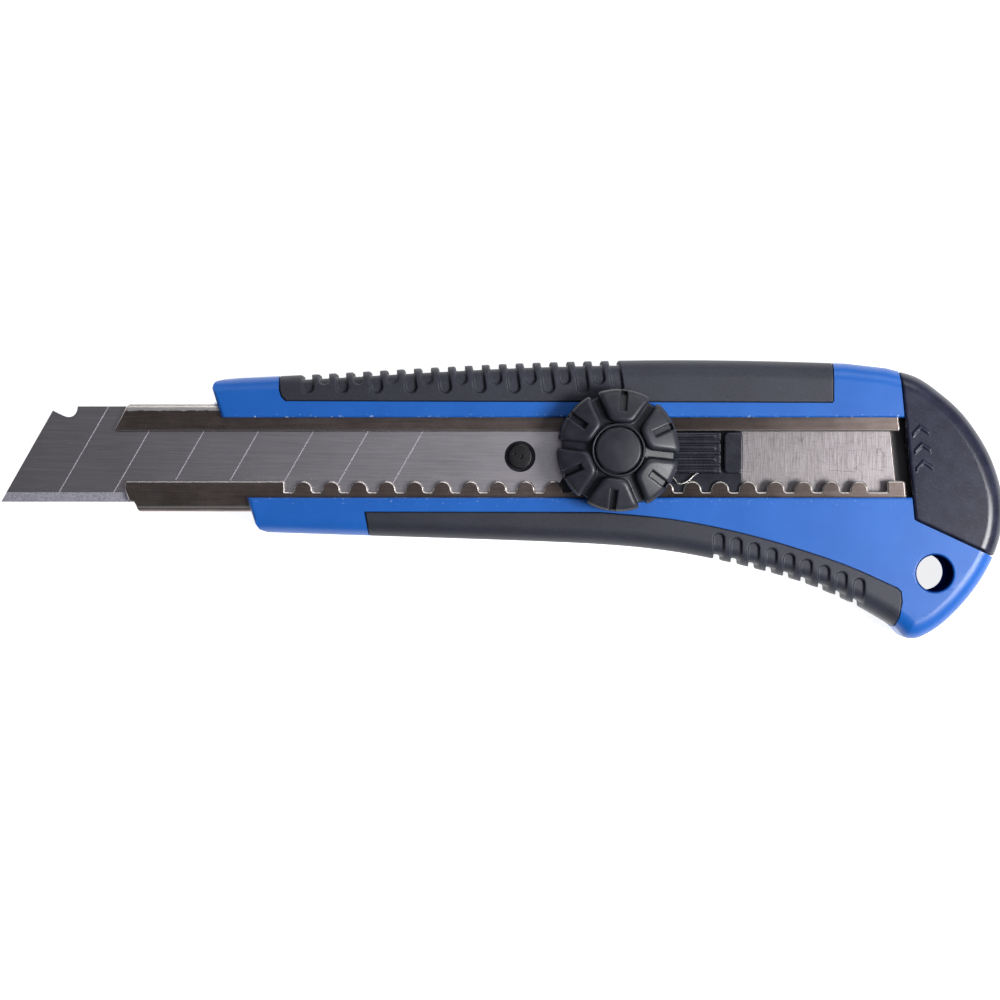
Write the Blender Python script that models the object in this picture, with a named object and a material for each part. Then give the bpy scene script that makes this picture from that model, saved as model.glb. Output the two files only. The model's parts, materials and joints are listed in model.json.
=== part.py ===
"""Utility knife: 18 mm snap-off blade in a steel rail, locked by a wheel, in a two-colour handle.

The knife lies on its back on the table: +X from the blade's tip to the end cap, +Y to the spine,
+Z up out of the front face. The origin is at the middle of the bounding box, on the table.
Everything is worked out in millimetres, and a finished piece is turned into metres.
"""

import math

import bmesh
import bpy
from mathutils import Vector

MM = 0.001
GAP = 0.2                       # between pieces that touch on the real knife

# Levels above the table
HANDLE_T = 14.0                 # thickness of the handle
EDGE_R = 3.0                    # rounding of the handle's long edges
SHEET = 0.6                     # rail's sheet steel
RAIL_TOP = 12.5                 # outer face of the lips
RAIL_H = 3.5                    # rail's outer height
RAIL_BOTTOM = RAIL_TOP - RAIL_H
BLADE_T = 0.5
BLADE_TOP = RAIL_TOP - SHEET - 0.4
BLADE_BOTTOM = BLADE_TOP - BLADE_T
CARRIER_TOP = RAIL_TOP - SHEET - 0.25
CARRIER_BOTTOM = RAIL_BOTTOM + SHEET + 0.25
TONGUE_TOP = BLADE_BOTTOM - GAP

# Rail across the knife
RAIL_LOW = -2.25
RAIL_HIGH = 17.8
LIP_LOW = 3.37                  # edge of the notched lip
LIP_HIGH = 12.45                # edge of the plain lip
BEND_R = 1.3
SLOT_LOW = 0.35                 # slot in the handle's front face
SLOT_HIGH = 14.96
BED_TOP = RAIL_TOP + 0.1

# Detent notches in the lower lip
NOTCH_PITCH = 5.085
NOTCH_COUNT = 22
NOTCH_FIRST = -39.8             # front flank of the first notch
NOTCH_FLOOR = 1.36
NOTCH_LAST_L = 3.5              # length of the last notch
TOOTH_R = 1.65
LIP_BACK = 0.95                 # how far the rail's lips and floor end before the cap
FLOOR_BACK = 2.2

# Blade
TIP_X = -91.87
EDGE_Y = -0.45
SPINE_Y = 17.05
BLADE_L = 100.4
SNAP_SLOPE = math.tan(math.radians(30.0))
SNAP_PITCH = 10.04
SNAP_COUNT = 7
SNAP_FIRST = -82.2              # first score line, at the cutting edge
EDGE_BAND = 1.76                # width of the ground edge
KEEN = 0.03                     # half the thickness left at the cutting edge
SCORE_HALF = 0.14               # score line's half width and depth
SCORE_DEPTH = 0.1
PIN = Vector((3.27, 7.87))
PIN_HOLE_R = 2.85
PIN_R = 2.3
PIN_TOP = 12.2
SHANK_R = 1.3

# Slider: its base lies under the lips, its thumb panel and rear bar stand up between them
BASE_X = (18.9, 44.05)
BASE_Y = (-1.2, 16.7)
PANEL_Y = (4.75, 12.25)
PANEL_X = (28.2, 40.05)
PANEL_TOP = 13.0
BAR_X = (40.5, 43.95)
BAR_TOP = 13.9
RIB_COUNT = 7
RIB_PITCH = 1.06
RIB_TOP = 13.6
LEAF_HALF = 0.13                # detent leaf's half thickness

# Lock wheel
AXIS = Vector((21.0, 8.9))
WHEEL_R = 11.1
WHEEL_BOTTOM = 14.6
WHEEL_RIM_TOP = 19.2
WHEEL_CREST = 21.1
PETALS = 6
PETAL_TURN = math.radians(-6.0)  # direction of the first groove between petals
GROOVE_W = 1.4
SLIT_W = 1.1
SLIT_L = 3.1
RIM_STEP = 0.85                 # how far the base stands back from the petals' rim
HUB_R = 5.6
HUB_BOTTOM = 13.5
STUD_R = 2.5
STUD_HEAD = 3.6                 # half the stud's square head
HEAD_TOP = 11.0
CAP_R = 4.15

# End cap: its joint face leans by this much, and it slides along that face
CAP_FOOT = Vector((75.3, -3.6))
CAP_LEAN = math.radians(5.5)
CAP_SLIDE = Vector((-math.sin(CAP_LEAN), math.cos(CAP_LEAN)))
CAP_OUT = Vector((math.cos(CAP_LEAN), math.sin(CAP_LEAN)))
TAIL_SLOPE = math.radians(-25.0)

# Magazine behind the rail
MAGAZINE = ((-33.0, -1.5, 2.0), (90.0, 17.5, 7.2))

LANYARD = Vector((78.95, -13.5))
LANYARD_R = 3.3
LANYARD_RIM = 0.5

# Grips: how deep the soft material goes
GRIP_SIDE = 2.0
GRIP_FACE = 1.2
FAR = 28.0                      # past the outline on every side


# ---------------------------------------------------------------- outlines

def smooth(points, steps):
    """Points on a Catmull-Rom curve through the given points, ends included."""
    knots = [Vector(p) for p in points]
    first = knots[0] * 2 - knots[1]
    last = knots[-1] * 2 - knots[-2]
    padded = [first] + knots + [last]
    curve = []
    for i in range(1, len(padded) - 2):
        a, b, c, d = padded[i - 1:i + 3]
        for k in range(steps):
            t = k / steps
            curve.append(
                0.5 * (2 * b + (c - a) * t
                       + (2 * a - 5 * b + 4 * c - d) * t * t
                       + (3 * b - a - 3 * c + d) * t ** 3))
    return curve + [knots[-1]]


def arc(centre, radius, start, end, count):
    """Points on an arc, angles in degrees."""
    turn = [math.radians(start + (end - start) * k / count) for k in range(count + 1)]
    return [Vector(centre) + radius * Vector((math.cos(a), math.sin(a))) for a in turn]


def left_normal(a, b):
    """Unit normal on the left of the way from a to b: inwards on a counter-clockwise outline."""
    way = (b - a).normalized()
    return Vector((-way.y, way.x))


def inset(outline, distance):
    """A counter-clockwise outline moved inwards. An edge that shrinks to nothing stays shut."""
    steps = math.ceil(abs(distance) / 0.08) + 1
    ring = [Vector(p) for p in outline]
    count = len(ring)
    shut = [False] * count      # edge i runs from vertex i to vertex i + 1
    for _ in range(steps):
        moved = list(ring)
        for i in range(count):
            before = (i - 1) % count
            while shut[before]:
                before = (before - 1) % count
            after = i
            while shut[after]:
                after = (after + 1) % count
            n0 = left_normal(ring[before], ring[(before + 1) % count])
            n1 = left_normal(ring[after], ring[(after + 1) % count])
            moved[i] = ring[i] + (n0 + n1) / max(1 + n0.dot(n1), 0.3) * (distance / steps)
        for i in range(count):
            j = (i + 1) % count
            if not shut[i] and (moved[j] - moved[i]).dot(ring[j] - ring[i]) <= 0:
                shut[i] = True
        for i in range(count):
            if shut[i] and not shut[i - 1]:
                run = [i]
                while shut[run[-1]]:
                    run.append((run[-1] + 1) % count)
                middle = sum((moved[k] for k in run), Vector((0.0, 0.0))) / len(run)
                for k in run:
                    moved[k] = middle.copy()
        ring = moved
    return ring


def handle_outline(steps=3):
    """Outside of the whole handle, end cap included, seen from the front, counter-clockwise."""
    belly = smooth([(-43.0, -6.05), (-26.3, -6.6), (-8.7, -7.15), (7.0, -7.7), (18.5, -8.25),
                    (27.4, -9.05), (36.0, -10.35), (46.0, -12.6), (56.0, -15.5), (65.0, -19.3),
                    (71.2, -22.8)], steps)
    tail = smooth([(72.4, -23.9), (73.6, -25.2), (75.2, -25.55), (77.2, -25.0), (80.6, -22.85),
                   (84.9, -18.6), (88.7, -13.2), (91.2, -7.3), (91.87, -1.3), (91.0, 3.9),
                   (88.7, 9.6), (84.6, 15.6), (80.0, 19.8), (75.8, 22.55), (70.5, 24.1)], steps)
    spine = smooth([(62.9, 24.96), (46.0, 25.42), (28.0, 25.55), (6.4, 25.1), (-12.6, 24.2),
                    (-31.5, 23.1), (-48.0, 22.3)], steps)
    nose = [Vector(p) for p in ((-51.1, 22.0), (-52.8, 21.5), (-53.4, 20.3),
                                (-45.8, -4.6), (-45.0, -5.65))]
    return belly + tail + spine + nose


def upper_grip_region():
    """Where the soft upper grip lies, seen from the front: past the outline on the spine's side."""
    return [Vector(p) for p in ((-40.95, 30.0), (-40.8, 20.0), (-40.4, 18.7), (-39.6, 17.9),
                                (60.25, 17.6), (60.6, 17.95), (60.6, 30.0))]


def lower_grip_region():
    """Where the soft lower grip lies, seen from the front: past the outline on the belly's side."""
    edge = smooth([(17.9, -2.25), (30.0, -3.4), (41.0, -5.4), (52.0, -8.3), (63.0, -12.0),
                   (72.2, -16.1)], 3)
    ring = [Vector((-25.2, -2.2))] + edge
    ring += [Vector(p) for p in ((72.9, -16.8), (73.1, -18.7), (72.6, -21.5), (71.7, -23.6),
                                 (71.7, -30.0), (-23.8, -30.0), (-24.4, -6.8))]
    return ring[::-1]


def cap_region():
    """Right of the cap's joint face and above the tail, well past the outline."""
    top = CAP_FOOT + CAP_SLIDE * 36
    corner = CAP_FOOT + Vector((0.5, -0.35))
    far = corner + Vector((math.cos(TAIL_SLOPE), math.sin(TAIL_SLOPE))) * 24
    return [CAP_FOOT, corner, far, Vector((far.x, top.y)), top]


def at_cap(out, along):
    """A point given by its distance out of the cap's joint face and along it, from its foot."""
    return CAP_FOOT + CAP_OUT * out + CAP_SLIDE * along


def capsule(top, bottom, radius, count=6):
    """A slot with a round lower end, from a point above down to the round end's lowest point."""
    top, bottom = Vector(top), Vector(bottom)
    way = (top - bottom).normalized()
    side = Vector((way.y, -way.x)) * radius
    centre = bottom + way * radius
    heading = math.degrees(math.atan2(-side.y, -side.x))
    return [top + side, top - side] + arc(centre, radius, heading, heading + 180, count)


# ---------------------------------------------------------------- solids

def new_object(name, mesh_data):
    """An object holding what a bmesh describes, still in millimetres."""
    bmesh.ops.remove_doubles(mesh_data, verts=mesh_data.verts, dist=0.002)
    bmesh.ops.dissolve_degenerate(mesh_data, edges=mesh_data.edges, dist=0.002)
    bmesh.ops.recalc_face_normals(mesh_data, faces=mesh_data.faces)
    mesh = bpy.data.meshes.new(name)
    mesh_data.to_mesh(mesh)
    mesh_data.free()
    obj = bpy.data.objects.new(name, mesh)
    bpy.context.scene.collection.objects.link(obj)
    return obj


def loft(name, rings):
    """A closed solid through rings of equal length, each a list of 3-D points, with flat ends."""
    mesh_data = bmesh.new()
    rows = [[mesh_data.verts.new(p) for p in ring] for ring in rings]
    count = len(rows[0])
    for low, high in zip(rows, rows[1:]):
        for i in range(count):
            j = (i + 1) % count
            mesh_data.faces.new((low[i], low[j], high[j], high[i]))
    mesh_data.faces.new(rows[0][::-1])
    mesh_data.faces.new(rows[-1])
    return new_object(name, mesh_data)


def level(outline, z):
    return [Vector((p[0], p[1], z)) for p in outline]


def prism(name, outline, bottom, top):
    return loft(name, [level(outline, bottom), level(outline, top)])


def box(name, low, high):
    corners = [(low[0], low[1]), (high[0], low[1]), (high[0], high[1]), (low[0], high[1])]
    return prism(name, corners, low[2], high[2])


def slab(name, outline, bottom, top, radius, count=3):
    """A prism whose long edges are rounded, front and back."""
    rings = []
    for k in range(count + 1):
        turn = math.pi / 2 * (1 - k / count)
        ring = inset(outline, radius * (1 - math.cos(turn)))
        rings.append(level(ring, bottom + radius * (1 - math.sin(turn))))
    for k in range(count + 1):
        turn = math.pi / 2 * k / count
        ring = inset(outline, radius * (1 - math.cos(turn)))
        rings.append(level(ring, top - radius * (1 - math.sin(turn))))
    return loft(name, rings)


def lathe(name, profile, centre, count):
    """A round solid from a profile of (radius, z) points, run from its foot to its top."""
    angles = [2 * math.pi * k / count for k in range(count)]
    rings = []
    for radius, z in profile:
        rings.append([(centre[0] + radius * math.cos(a), centre[1] + radius * math.sin(a), z)
                      for a in angles])
    return loft(name, rings)


def along_x(name, section, start, end):
    """A solid with the given (y, z) section, from one x to another."""
    return loft(name, [[(start, y, z) for y, z in section], [(end, y, z) for y, z in section]])


def boolean(target, tool, operation):
    """Joins, cuts or intersects target with tool, and removes tool."""
    modifier = target.modifiers.new(operation, "BOOLEAN")
    modifier.operation = operation
    modifier.object = tool
    modifier.solver = "EXACT"
    shape = target.evaluated_get(bpy.context.evaluated_depsgraph_get())
    mesh = bpy.data.meshes.new_from_object(shape)
    target.modifiers.clear()
    old = target.data
    target.data = mesh
    bpy.data.meshes.remove(old)
    bpy.data.objects.remove(tool)
    return target


def cut(target, *tools):
    for tool in tools:
        boolean(target, tool, "DIFFERENCE")
    return target


def together(name, objects):
    """Separate solids as one cutter. They don't touch each other."""
    mesh_data = bmesh.new()
    for obj in objects:
        mesh_data.from_mesh(obj.data)
        bpy.data.objects.remove(obj)
    mesh = bpy.data.meshes.new(name)
    mesh_data.to_mesh(mesh)
    mesh_data.free()
    obj = bpy.data.objects.new(name, mesh)
    bpy.context.scene.collection.objects.link(obj)
    return obj


def material(name, colour, roughness, metallic=0.0):
    paint = bpy.data.materials.new(name)
    paint.use_nodes = True
    shader = paint.node_tree.nodes["Principled BSDF"]
    shader.inputs["Base Color"].default_value = (*colour, 1.0)
    shader.inputs["Roughness"].default_value = roughness
    shader.inputs["Metallic"].default_value = metallic
    return paint


def finish(obj, name, paint, origin=(0.0, 0.0, 0.0)):
    """Names a finished piece, turns it into metres about its origin, and shades it smooth."""
    obj.name = name
    obj.data.name = name
    obj.data.materials.clear()
    obj.data.materials.append(paint)
    origin = Vector(origin)
    for vertex in obj.data.vertices:
        vertex.co = (vertex.co - origin) * MM
    obj.location = origin * MM
    obj.data.shade_smooth()
    obj.data.set_sharp_from_angle(angle=math.radians(30))
    return obj


# ---------------------------------------------------------------- handle

def master(name="master"):
    """The handle's full outer shape, end cap included."""
    return slab(name, handle_outline(), 0.0, HANDLE_T, EDGE_R)


def grip_core(extra=0.0):
    """What lies under the soft grips."""
    ring = inset(handle_outline(), GRIP_SIDE - extra)
    return slab("core", ring, GRIP_FACE - extra, HANDLE_T - GRIP_FACE + extra, 1.2, 2)


def grip_pocket(region):
    """The space that a soft grip fills, run past the outside."""
    space = prism("pocket", region, -2.0, HANDLE_T + 2.0)
    return cut(space, grip_core())


def rail_bed():
    """The T-shaped channel that holds the rail, open at both ends and in the front face."""
    bed = box("bed", (-70.0, RAIL_LOW - 0.15, RAIL_BOTTOM - 0.1),
              (90.0, RAIL_HIGH + 0.15, BED_TOP))
    slot = box("slot", (-70.0, SLOT_LOW, BED_TOP - 0.5), (90.0, SLOT_HIGH, HANDLE_T + 2.0))
    return boolean(bed, slot, "UNION")


def guide_tongue(extra=0.0, below=0.0):
    """The T-headed tongue that the end cap slides on. It can be grown, and run on downwards."""
    low, high = 0.9 - extra - below, 20.0 + extra
    neck, head = 3.2 - extra, 4.6 + extra
    section = [(-1.5, 7.3 - extra), (neck, 7.3 - extra), (neck, 6.4 - extra), (head, 6.4 - extra),
               (head, 9.6 + extra), (neck, 9.6 + extra), (neck, 8.7 + extra), (-1.5, 8.7 + extra)]
    return loft("tongue", [[(*at_cap(out, along), z) for out, z in section]
                           for along in (low, high)])


def lanyard_hole():
    """A through hole with eased rims."""
    rim = LANYARD_R + LANYARD_RIM
    return lathe("hole", [(rim, -1.0), (rim, 0.0), (LANYARD_R, LANYARD_RIM),
                          (LANYARD_R, HANDLE_T - LANYARD_RIM), (rim, HANDLE_T),
                          (rim, HANDLE_T + 1.0)], LANYARD, 32)


def handle_body(paint):
    body = master()
    cut(body, grip_pocket(upper_grip_region()), grip_pocket(lower_grip_region()))
    cut(body, prism("cap side", inset(cap_region(), -GAP / 2), -2.0, HANDLE_T + 2.0))
    cut(body, rail_bed(), box("magazine", *MAGAZINE))
    boolean(body, guide_tongue(), "UNION")
    cut(body, lanyard_hole())
    return finish(body, "handle_body", paint)


def groove_layer():
    """The inside that the grip grooves stop at: shallow on the faces, deeper on the edge."""
    return slab("layer", inset(handle_outline(), 0.9), 0.65, HANDLE_T - 0.65, 2.0, 2)


def upper_grooves():
    """Cross grooves over the spine, alternately long and short, leaning back as they go down."""
    lean = math.tan(math.radians(8.0))
    radius, pitch, level_y = 0.88, 3.14, 24.0
    slots = []
    for k in range(19):
        top_x = -35.95 + pitch * k - lean * (FAR - level_y)
        foot = 19.65 if k % 2 == 0 else 21.2
        ring = capsule((top_x, FAR), (top_x + lean * (FAR - foot), foot), radius)
        slots.append(prism("groove", ring, -2.0, HANDLE_T + 2.0))
    return together("grooves", slots)


def lower_grooves():
    """Arched grooves down to the belly's edge."""
    radius, pitch = 0.8, 3.2
    slots = []
    for k in range(9):
        x = 39.55 + pitch * k
        arch = -6.4 - 0.82 * k - 0.026 * k * k
        ring = [-Vector(p) for p in capsule((-x, FAR), (-x, -arch), radius)]
        slots.append(prism("groove", ring, -2.0, HANDLE_T + 2.0))
    return together("grooves", slots)


def soft_grip(name, region, grooves, paint):
    """A soft grip: the handle's outer skin over its region, with grooves."""
    grip = boolean(master(), prism("region", inset(region, GAP), -2.0, HANDLE_T + 2.0), "INTERSECT")
    cut(grip, grip_core(extra=GAP), cut(grooves, groove_layer()))
    return finish(grip, name, paint)


def chevron(foot):
    """A raised mark that points the way the cap slides."""
    wide, rise, bar = 1.5, 1.3, 0.75
    points = ((-wide, 0.0), (0.0, rise), (wide, 0.0), (wide, bar), (0.0, rise + bar), (-wide, bar))
    ring = [at_cap(2.6 + x, foot + y) for x, y in points]
    return prism("mark", ring, HANDLE_T - 0.5, HANDLE_T + 0.25)


def end_cap(paint):
    region = inset(cap_region(), GAP / 2)
    cap = boolean(master(), prism("region", region, -2.0, HANDLE_T + 2.0), "INTERSECT")
    cut(cap, guide_tongue(extra=0.25, below=8.0))
    inner = inset(handle_outline(), 2.2)
    for low, high in ((2.0, 5.4), (10.6, 12.4)):
        room = prism("room", inner, low, high)
        near = prism("near", inset(cap_region(), 2.0), low - 1.0, high + 1.0)
        boolean(room, near, "INTERSECT")
        mouth = prism("mouth", [at_cap(-2.0, 4.0), at_cap(4.0, 4.0),
                                at_cap(4.0, 20.0), at_cap(-2.0, 20.0)], low, high)
        boolean(room, mouth, "UNION")
        cut(cap, room)
    for foot in (8.6, 11.8, 15.0):
        boolean(cap, chevron(foot), "UNION")
    return finish(cap, "end_cap", paint)


# ---------------------------------------------------------------- rail and blade

def rail_section():
    """The C channel's (y, z) section."""
    low, high, bottom, top = RAIL_LOW, RAIL_HIGH, RAIL_BOTTOM, RAIL_TOP
    ring = [Vector((LIP_LOW, top))]
    outer = [(low + BEND_R, top - BEND_R, 90), (low + BEND_R, bottom + BEND_R, 180),
             (high - BEND_R, bottom + BEND_R, 270), (high - BEND_R, top - BEND_R, 0)]
    for y, z, start in outer:
        ring += arc((y, z), BEND_R, start, start + 90, 4)
    ring += [Vector((LIP_HIGH, top)), Vector((LIP_HIGH, top - SHEET))]
    for y, z, start in reversed(outer):
        ring += arc((y, z), BEND_R - SHEET, start + 90, start, 3)
    ring.append(Vector((LIP_LOW, top - SHEET)))
    return ring


def notch_comb():
    """Cuts the notches out of the lower lip: between them, half-round teeth are left."""
    crest = LIP_LOW - TOOTH_R
    lower = [Vector((NOTCH_FIRST, LIP_LOW + 1.0)), Vector((NOTCH_FIRST, NOTCH_FLOOR))]
    for k in range(1, NOTCH_COUNT):
        x = NOTCH_FIRST + NOTCH_PITCH * k - TOOTH_R
        lower.append(Vector((x - TOOTH_R, NOTCH_FLOOR)))
        lower += arc((x, crest), TOOTH_R, 180, 0, 8)
        lower.append(Vector((x + TOOTH_R, NOTCH_FLOOR)))
    end = NOTCH_FIRST + NOTCH_PITCH * (NOTCH_COUNT - 1) + NOTCH_LAST_L
    lower += [Vector((end, NOTCH_FLOOR)), Vector((end, LIP_LOW + 1.0))]
    return prism("comb", lower, RAIL_TOP - SHEET - 0.3, RAIL_TOP + 0.5)


def rail_nose():
    """Cuts the rail's front end: both lips lean back towards the rail's sides."""
    edge = [(-68.0, 18.5), (-70.95, 12.75), (-70.7, 12.0), (-68.6, 11.0), (-68.6, 4.4),
            (-69.0, 3.0), (-69.1, 1.9), (-68.3, -0.2), (-67.4, -0.4), (-66.3, -3.0)]
    return prism("nose", edge + [(-80.0, -3.0), (-80.0, 18.5)], RAIL_BOTTOM - 1, RAIL_TOP + 1)


def rail_tail(back, top):
    """Cuts the rail's rear end below a level, some way before the end cap's joint face."""
    far = 20.0
    ring = [at_cap(-back, -12.0), at_cap(far, -12.0), at_cap(far, 40.0), at_cap(-back, 40.0)]
    return prism("tail", ring, RAIL_BOTTOM - 1, top)


def blade_rail(paint):
    rail = along_x("rail", rail_section(), -75.0, 80.0)
    cut(rail, notch_comb(), rail_nose(), rail_tail(LIP_BACK, RAIL_TOP + 1))
    cut(rail, rail_tail(FLOOR_BACK, RAIL_BOTTOM + 1))
    return finish(rail, "blade_rail", paint)


def blade_outline():
    """The blade seen from the front, without its pin hole."""
    height = SPINE_Y - EDGE_Y
    front_top = TIP_X + height * SNAP_SLOPE
    hook = smooth([(-77.8, SPINE_Y), (-77.95, 16.2), (-78.5, 15.4), (-79.4, 15.1), (-80.4, 15.35),
                   (-82.35, 16.3)], 2)
    rear_low = Vector((TIP_X + BLADE_L, EDGE_Y))
    rear_high = rear_low + Vector((height * SNAP_SLOPE, height))
    return [Vector((TIP_X, EDGE_Y)), rear_low, rear_high] + hook


def blade(paint):
    middle = (BLADE_TOP + BLADE_BOTTOM) / 2
    section = [(EDGE_Y, middle - KEEN), (EDGE_Y + EDGE_BAND, BLADE_BOTTOM),
               (SPINE_Y, BLADE_BOTTOM), (SPINE_Y, BLADE_TOP),
               (EDGE_Y + EDGE_BAND, BLADE_TOP), (EDGE_Y, middle + KEEN)]
    strip = along_x("strip", section, -95.0, 25.0)
    shape = prism("shape", blade_outline(), BLADE_BOTTOM - 1, BLADE_TOP + 1)
    cut(shape, lathe("hole", [(PIN_HOLE_R, 5.0), (PIN_HOLE_R, 15.0)], PIN, 28))
    boolean(strip, shape, "INTERSECT")
    for k in range(SNAP_COUNT):
        rings = []
        for y in (EDGE_Y - 1, SPINE_Y + 1):
            at = SNAP_FIRST + SNAP_PITCH * k + (y - EDGE_Y) * SNAP_SLOPE
            rings.append([(at - SCORE_HALF, y, BLADE_TOP + 0.04), (at, y, BLADE_TOP - SCORE_DEPTH),
                          (at + SCORE_HALF, y, BLADE_TOP + 0.04)])
        cut(strip, loft("score", rings))
    return finish(strip, "blade", paint)


# ---------------------------------------------------------------- slider

def rounded_box(name, low, high, radius):
    """A box with its four upright edges rounded."""
    left, right = low[0] + radius, high[0] - radius
    lower, upper = low[1] + radius, high[1] - radius
    ring = []
    for cx, cy, start in ((right, lower, 270), (right, upper, 0), (left, upper, 90), (left, lower, 180)):
        ring += arc((cx, cy), radius, start, start + 90, 4)
    return prism(name, ring, low[2], high[2])


def spring_path(side):
    """One side of the detent leaf: in the carrier, out to a nose in the notch, and in again."""
    line = smooth([(38.0, 5.9), (36.6, 5.3), (35.2, 4.5), (34.0, 3.4), (32.75, 2.85), (32.0, 3.05),
                   (31.3, 3.9), (29.6, 4.5), (27.0, 4.8), (24.6, 5.4), (23.2, 6.3)], 3)
    out = []
    for i, p in enumerate(line):
        before, after = line[max(i - 1, 0)], line[min(i + 1, len(line) - 1)]
        out.append(p + left_normal(before, after) * side)
    return out


def spring_solid(name, half, bottom, top):
    ring = spring_path(half) + spring_path(-half)[::-1]
    return prism(name, ring, bottom, top)


def blade_carrier(paint):
    low, top = CARRIER_BOTTOM, CARRIER_TOP
    foot = low + 0.3
    carrier = box("base", (BASE_X[0], BASE_Y[0], low), (BASE_X[1], BASE_Y[1], top))
    front = [(0.3, 4.2), (9.0, 4.2), (12.0, BASE_Y[0]), (20.0, BASE_Y[0]), (20.0, BASE_Y[1]),
             (12.0, BASE_Y[1]), (9.0, 11.6), (0.3, 11.6)]
    boolean(carrier, prism("tongue", front, low, TONGUE_TOP), "UNION")
    boss = box("boss", (16.8, PANEL_Y[0], foot), (PANEL_X[0] + 0.4, PANEL_Y[1], RAIL_TOP - 0.1))
    panel = rounded_box("panel", (PANEL_X[0], PANEL_Y[0], foot),
                        (PANEL_X[1], PANEL_Y[1], PANEL_TOP), 0.5)
    boolean(boolean(carrier, boss, "UNION"), panel, "UNION")
    for k in range(RIB_COUNT):
        y = 11.6 - RIB_PITCH * k
        end = PANEL_X[1] - (1.1 if k % 2 == 0 else 0.15)
        rib = rounded_box("rib", (PANEL_X[0] + 0.7, y - 0.3, PANEL_TOP - 0.4),
                          (end, y + 0.3, RIB_TOP), 0.28)
        boolean(carrier, rib, "UNION")
    bar = rounded_box("bar", (BAR_X[0], PANEL_Y[0], foot), (BAR_X[1], PANEL_Y[1], BAR_TOP), 0.9)
    boolean(carrier, bar, "UNION")
    cut(carrier, spring_solid("slit", LEAF_HALF + 0.22, top + 0.02, 12.8))
    seat = STUD_HEAD + GAP
    cut(carrier, box("head seat", (AXIS.x - seat, AXIS.y - seat, low - 1.0),
                     (AXIS.x + seat, AXIS.y + seat, HEAD_TOP + GAP)))
    cut(carrier, lathe("bore", [(STUD_R + GAP, low - 1.0), (STUD_R + GAP, 14.0)], AXIS, 20))
    cut(carrier, lathe("pin bore", [(SHANK_R + GAP, low - 1.0), (SHANK_R + GAP, 12.0)], PIN, 20))
    return finish(carrier, "blade_carrier", paint)


def blade_pin(paint):
    """A staked pin: a thin shank in the tongue and a head that fills the blade's hole."""
    shoulder = TONGUE_TOP + 0.15
    pin = lathe("pin", [(SHANK_R, CARRIER_BOTTOM + 0.1), (SHANK_R, shoulder), (PIN_R, shoulder),
                        (PIN_R, PIN_TOP - 0.2), (PIN_R - 0.25, PIN_TOP)], PIN, 24)
    for x, y in ((0.25, 0.05), (-1.05, 0.5)):
        profile = [(0.05, PIN_TOP - 0.2), (0.35, PIN_TOP + 0.1)]
        cut(pin, lathe("dimple", profile, PIN + Vector((x, y)), 8))
    return finish(pin, "blade_pin", paint, (PIN.x, PIN.y, PIN_TOP))


def detent_spring(paint):
    leaf = spring_solid("leaf", LEAF_HALF, CARRIER_TOP + 0.12, RAIL_TOP - 0.05)
    return finish(leaf, "detent_spring", paint)


def lock_stud(paint):
    """Square head in the carrier, then the threaded length, with the stop ring's groove."""
    foot, half = 10.1, STUD_HEAD
    stud = box("head", (AXIS.x - half, AXIS.y - half, foot), (AXIS.x + half, AXIS.y + half, HEAD_TOP))
    ring_seat = STUD_R - 0.5
    shank = lathe("shank", [(STUD_R, HEAD_TOP - 0.5), (STUD_R, 18.9), (ring_seat, 18.95),
                            (ring_seat, 19.65), (STUD_R - 0.1, 19.7), (STUD_R - 0.3, 20.0)],
                  AXIS, 24)
    boolean(stud, shank, "UNION")
    return finish(stud, "lock_stud", paint, (AXIS.x, AXIS.y, foot))


def clamp_plate(paint):
    """Bears on both lips. The slot's walls keep it from turning."""
    plate = rounded_box("plate", (AXIS.x - 5.5, SLOT_LOW + 0.3, RAIL_TOP + 0.2),
                        (AXIS.x + 5.5, SLOT_HIGH - 0.3, 13.3), 1.0)
    cut(plate, lathe("bore", [(STUD_R + GAP, 12.0), (STUD_R + GAP, 14.0)], AXIS, 24))
    return finish(plate, "clamp_plate", paint, (AXIS.x, AXIS.y, 13.0))


def wheel_nut(paint):
    """Hexagonal threaded insert."""
    nut = lathe("nut", [(4.2, 13.7), (4.2, 18.0)], AXIS, 6)
    cut(nut, lathe("bore", [(STUD_R + 0.12, 13.0), (STUD_R + 0.12, 19.0)], AXIS, 24))
    return finish(nut, "wheel_nut", paint, (AXIS.x, AXIS.y, 13.7))


def stop_ring(paint):
    """Snap ring in the stud's groove."""
    ring = lathe("ring", [(3.5, 19.0), (3.5, 19.6)], AXIS, 20)
    cut(ring, lathe("bore", [(STUD_R - 0.35, 18.0), (STUD_R - 0.35, 21.0)], AXIS, 20))
    mouth = box("mouth", (AXIS.x, AXIS.y - 1.3, 18.0), (AXIS.x + 5.0, AXIS.y + 1.3, 21.0))
    return finish(cut(ring, mouth), "stop_ring", paint, (AXIS.x, AXIS.y, 19.3))


# ---------------------------------------------------------------- wheel

def groove_tool(turn, floor):
    """Cuts a groove between two petals, and right through the wheel outside its base."""
    way = Vector((math.cos(turn), math.sin(turn)))
    side = Vector((-way.y, way.x)) * GROOVE_W / 2
    inner, step, outer = 4.9, WHEEL_R - RIM_STEP, WHEEL_R + 3.0
    below, above = WHEEL_BOTTOM - 1.0, WHEEL_CREST + 3.0
    section = [(inner, floor), (step, floor), (step, below), (outer, below), (outer, above),
               (inner, above)]
    return loft("groove", [[(*(AXIS + way * out + offset), z) for out, z in section]
                           for offset in (side, -side)])


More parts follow.
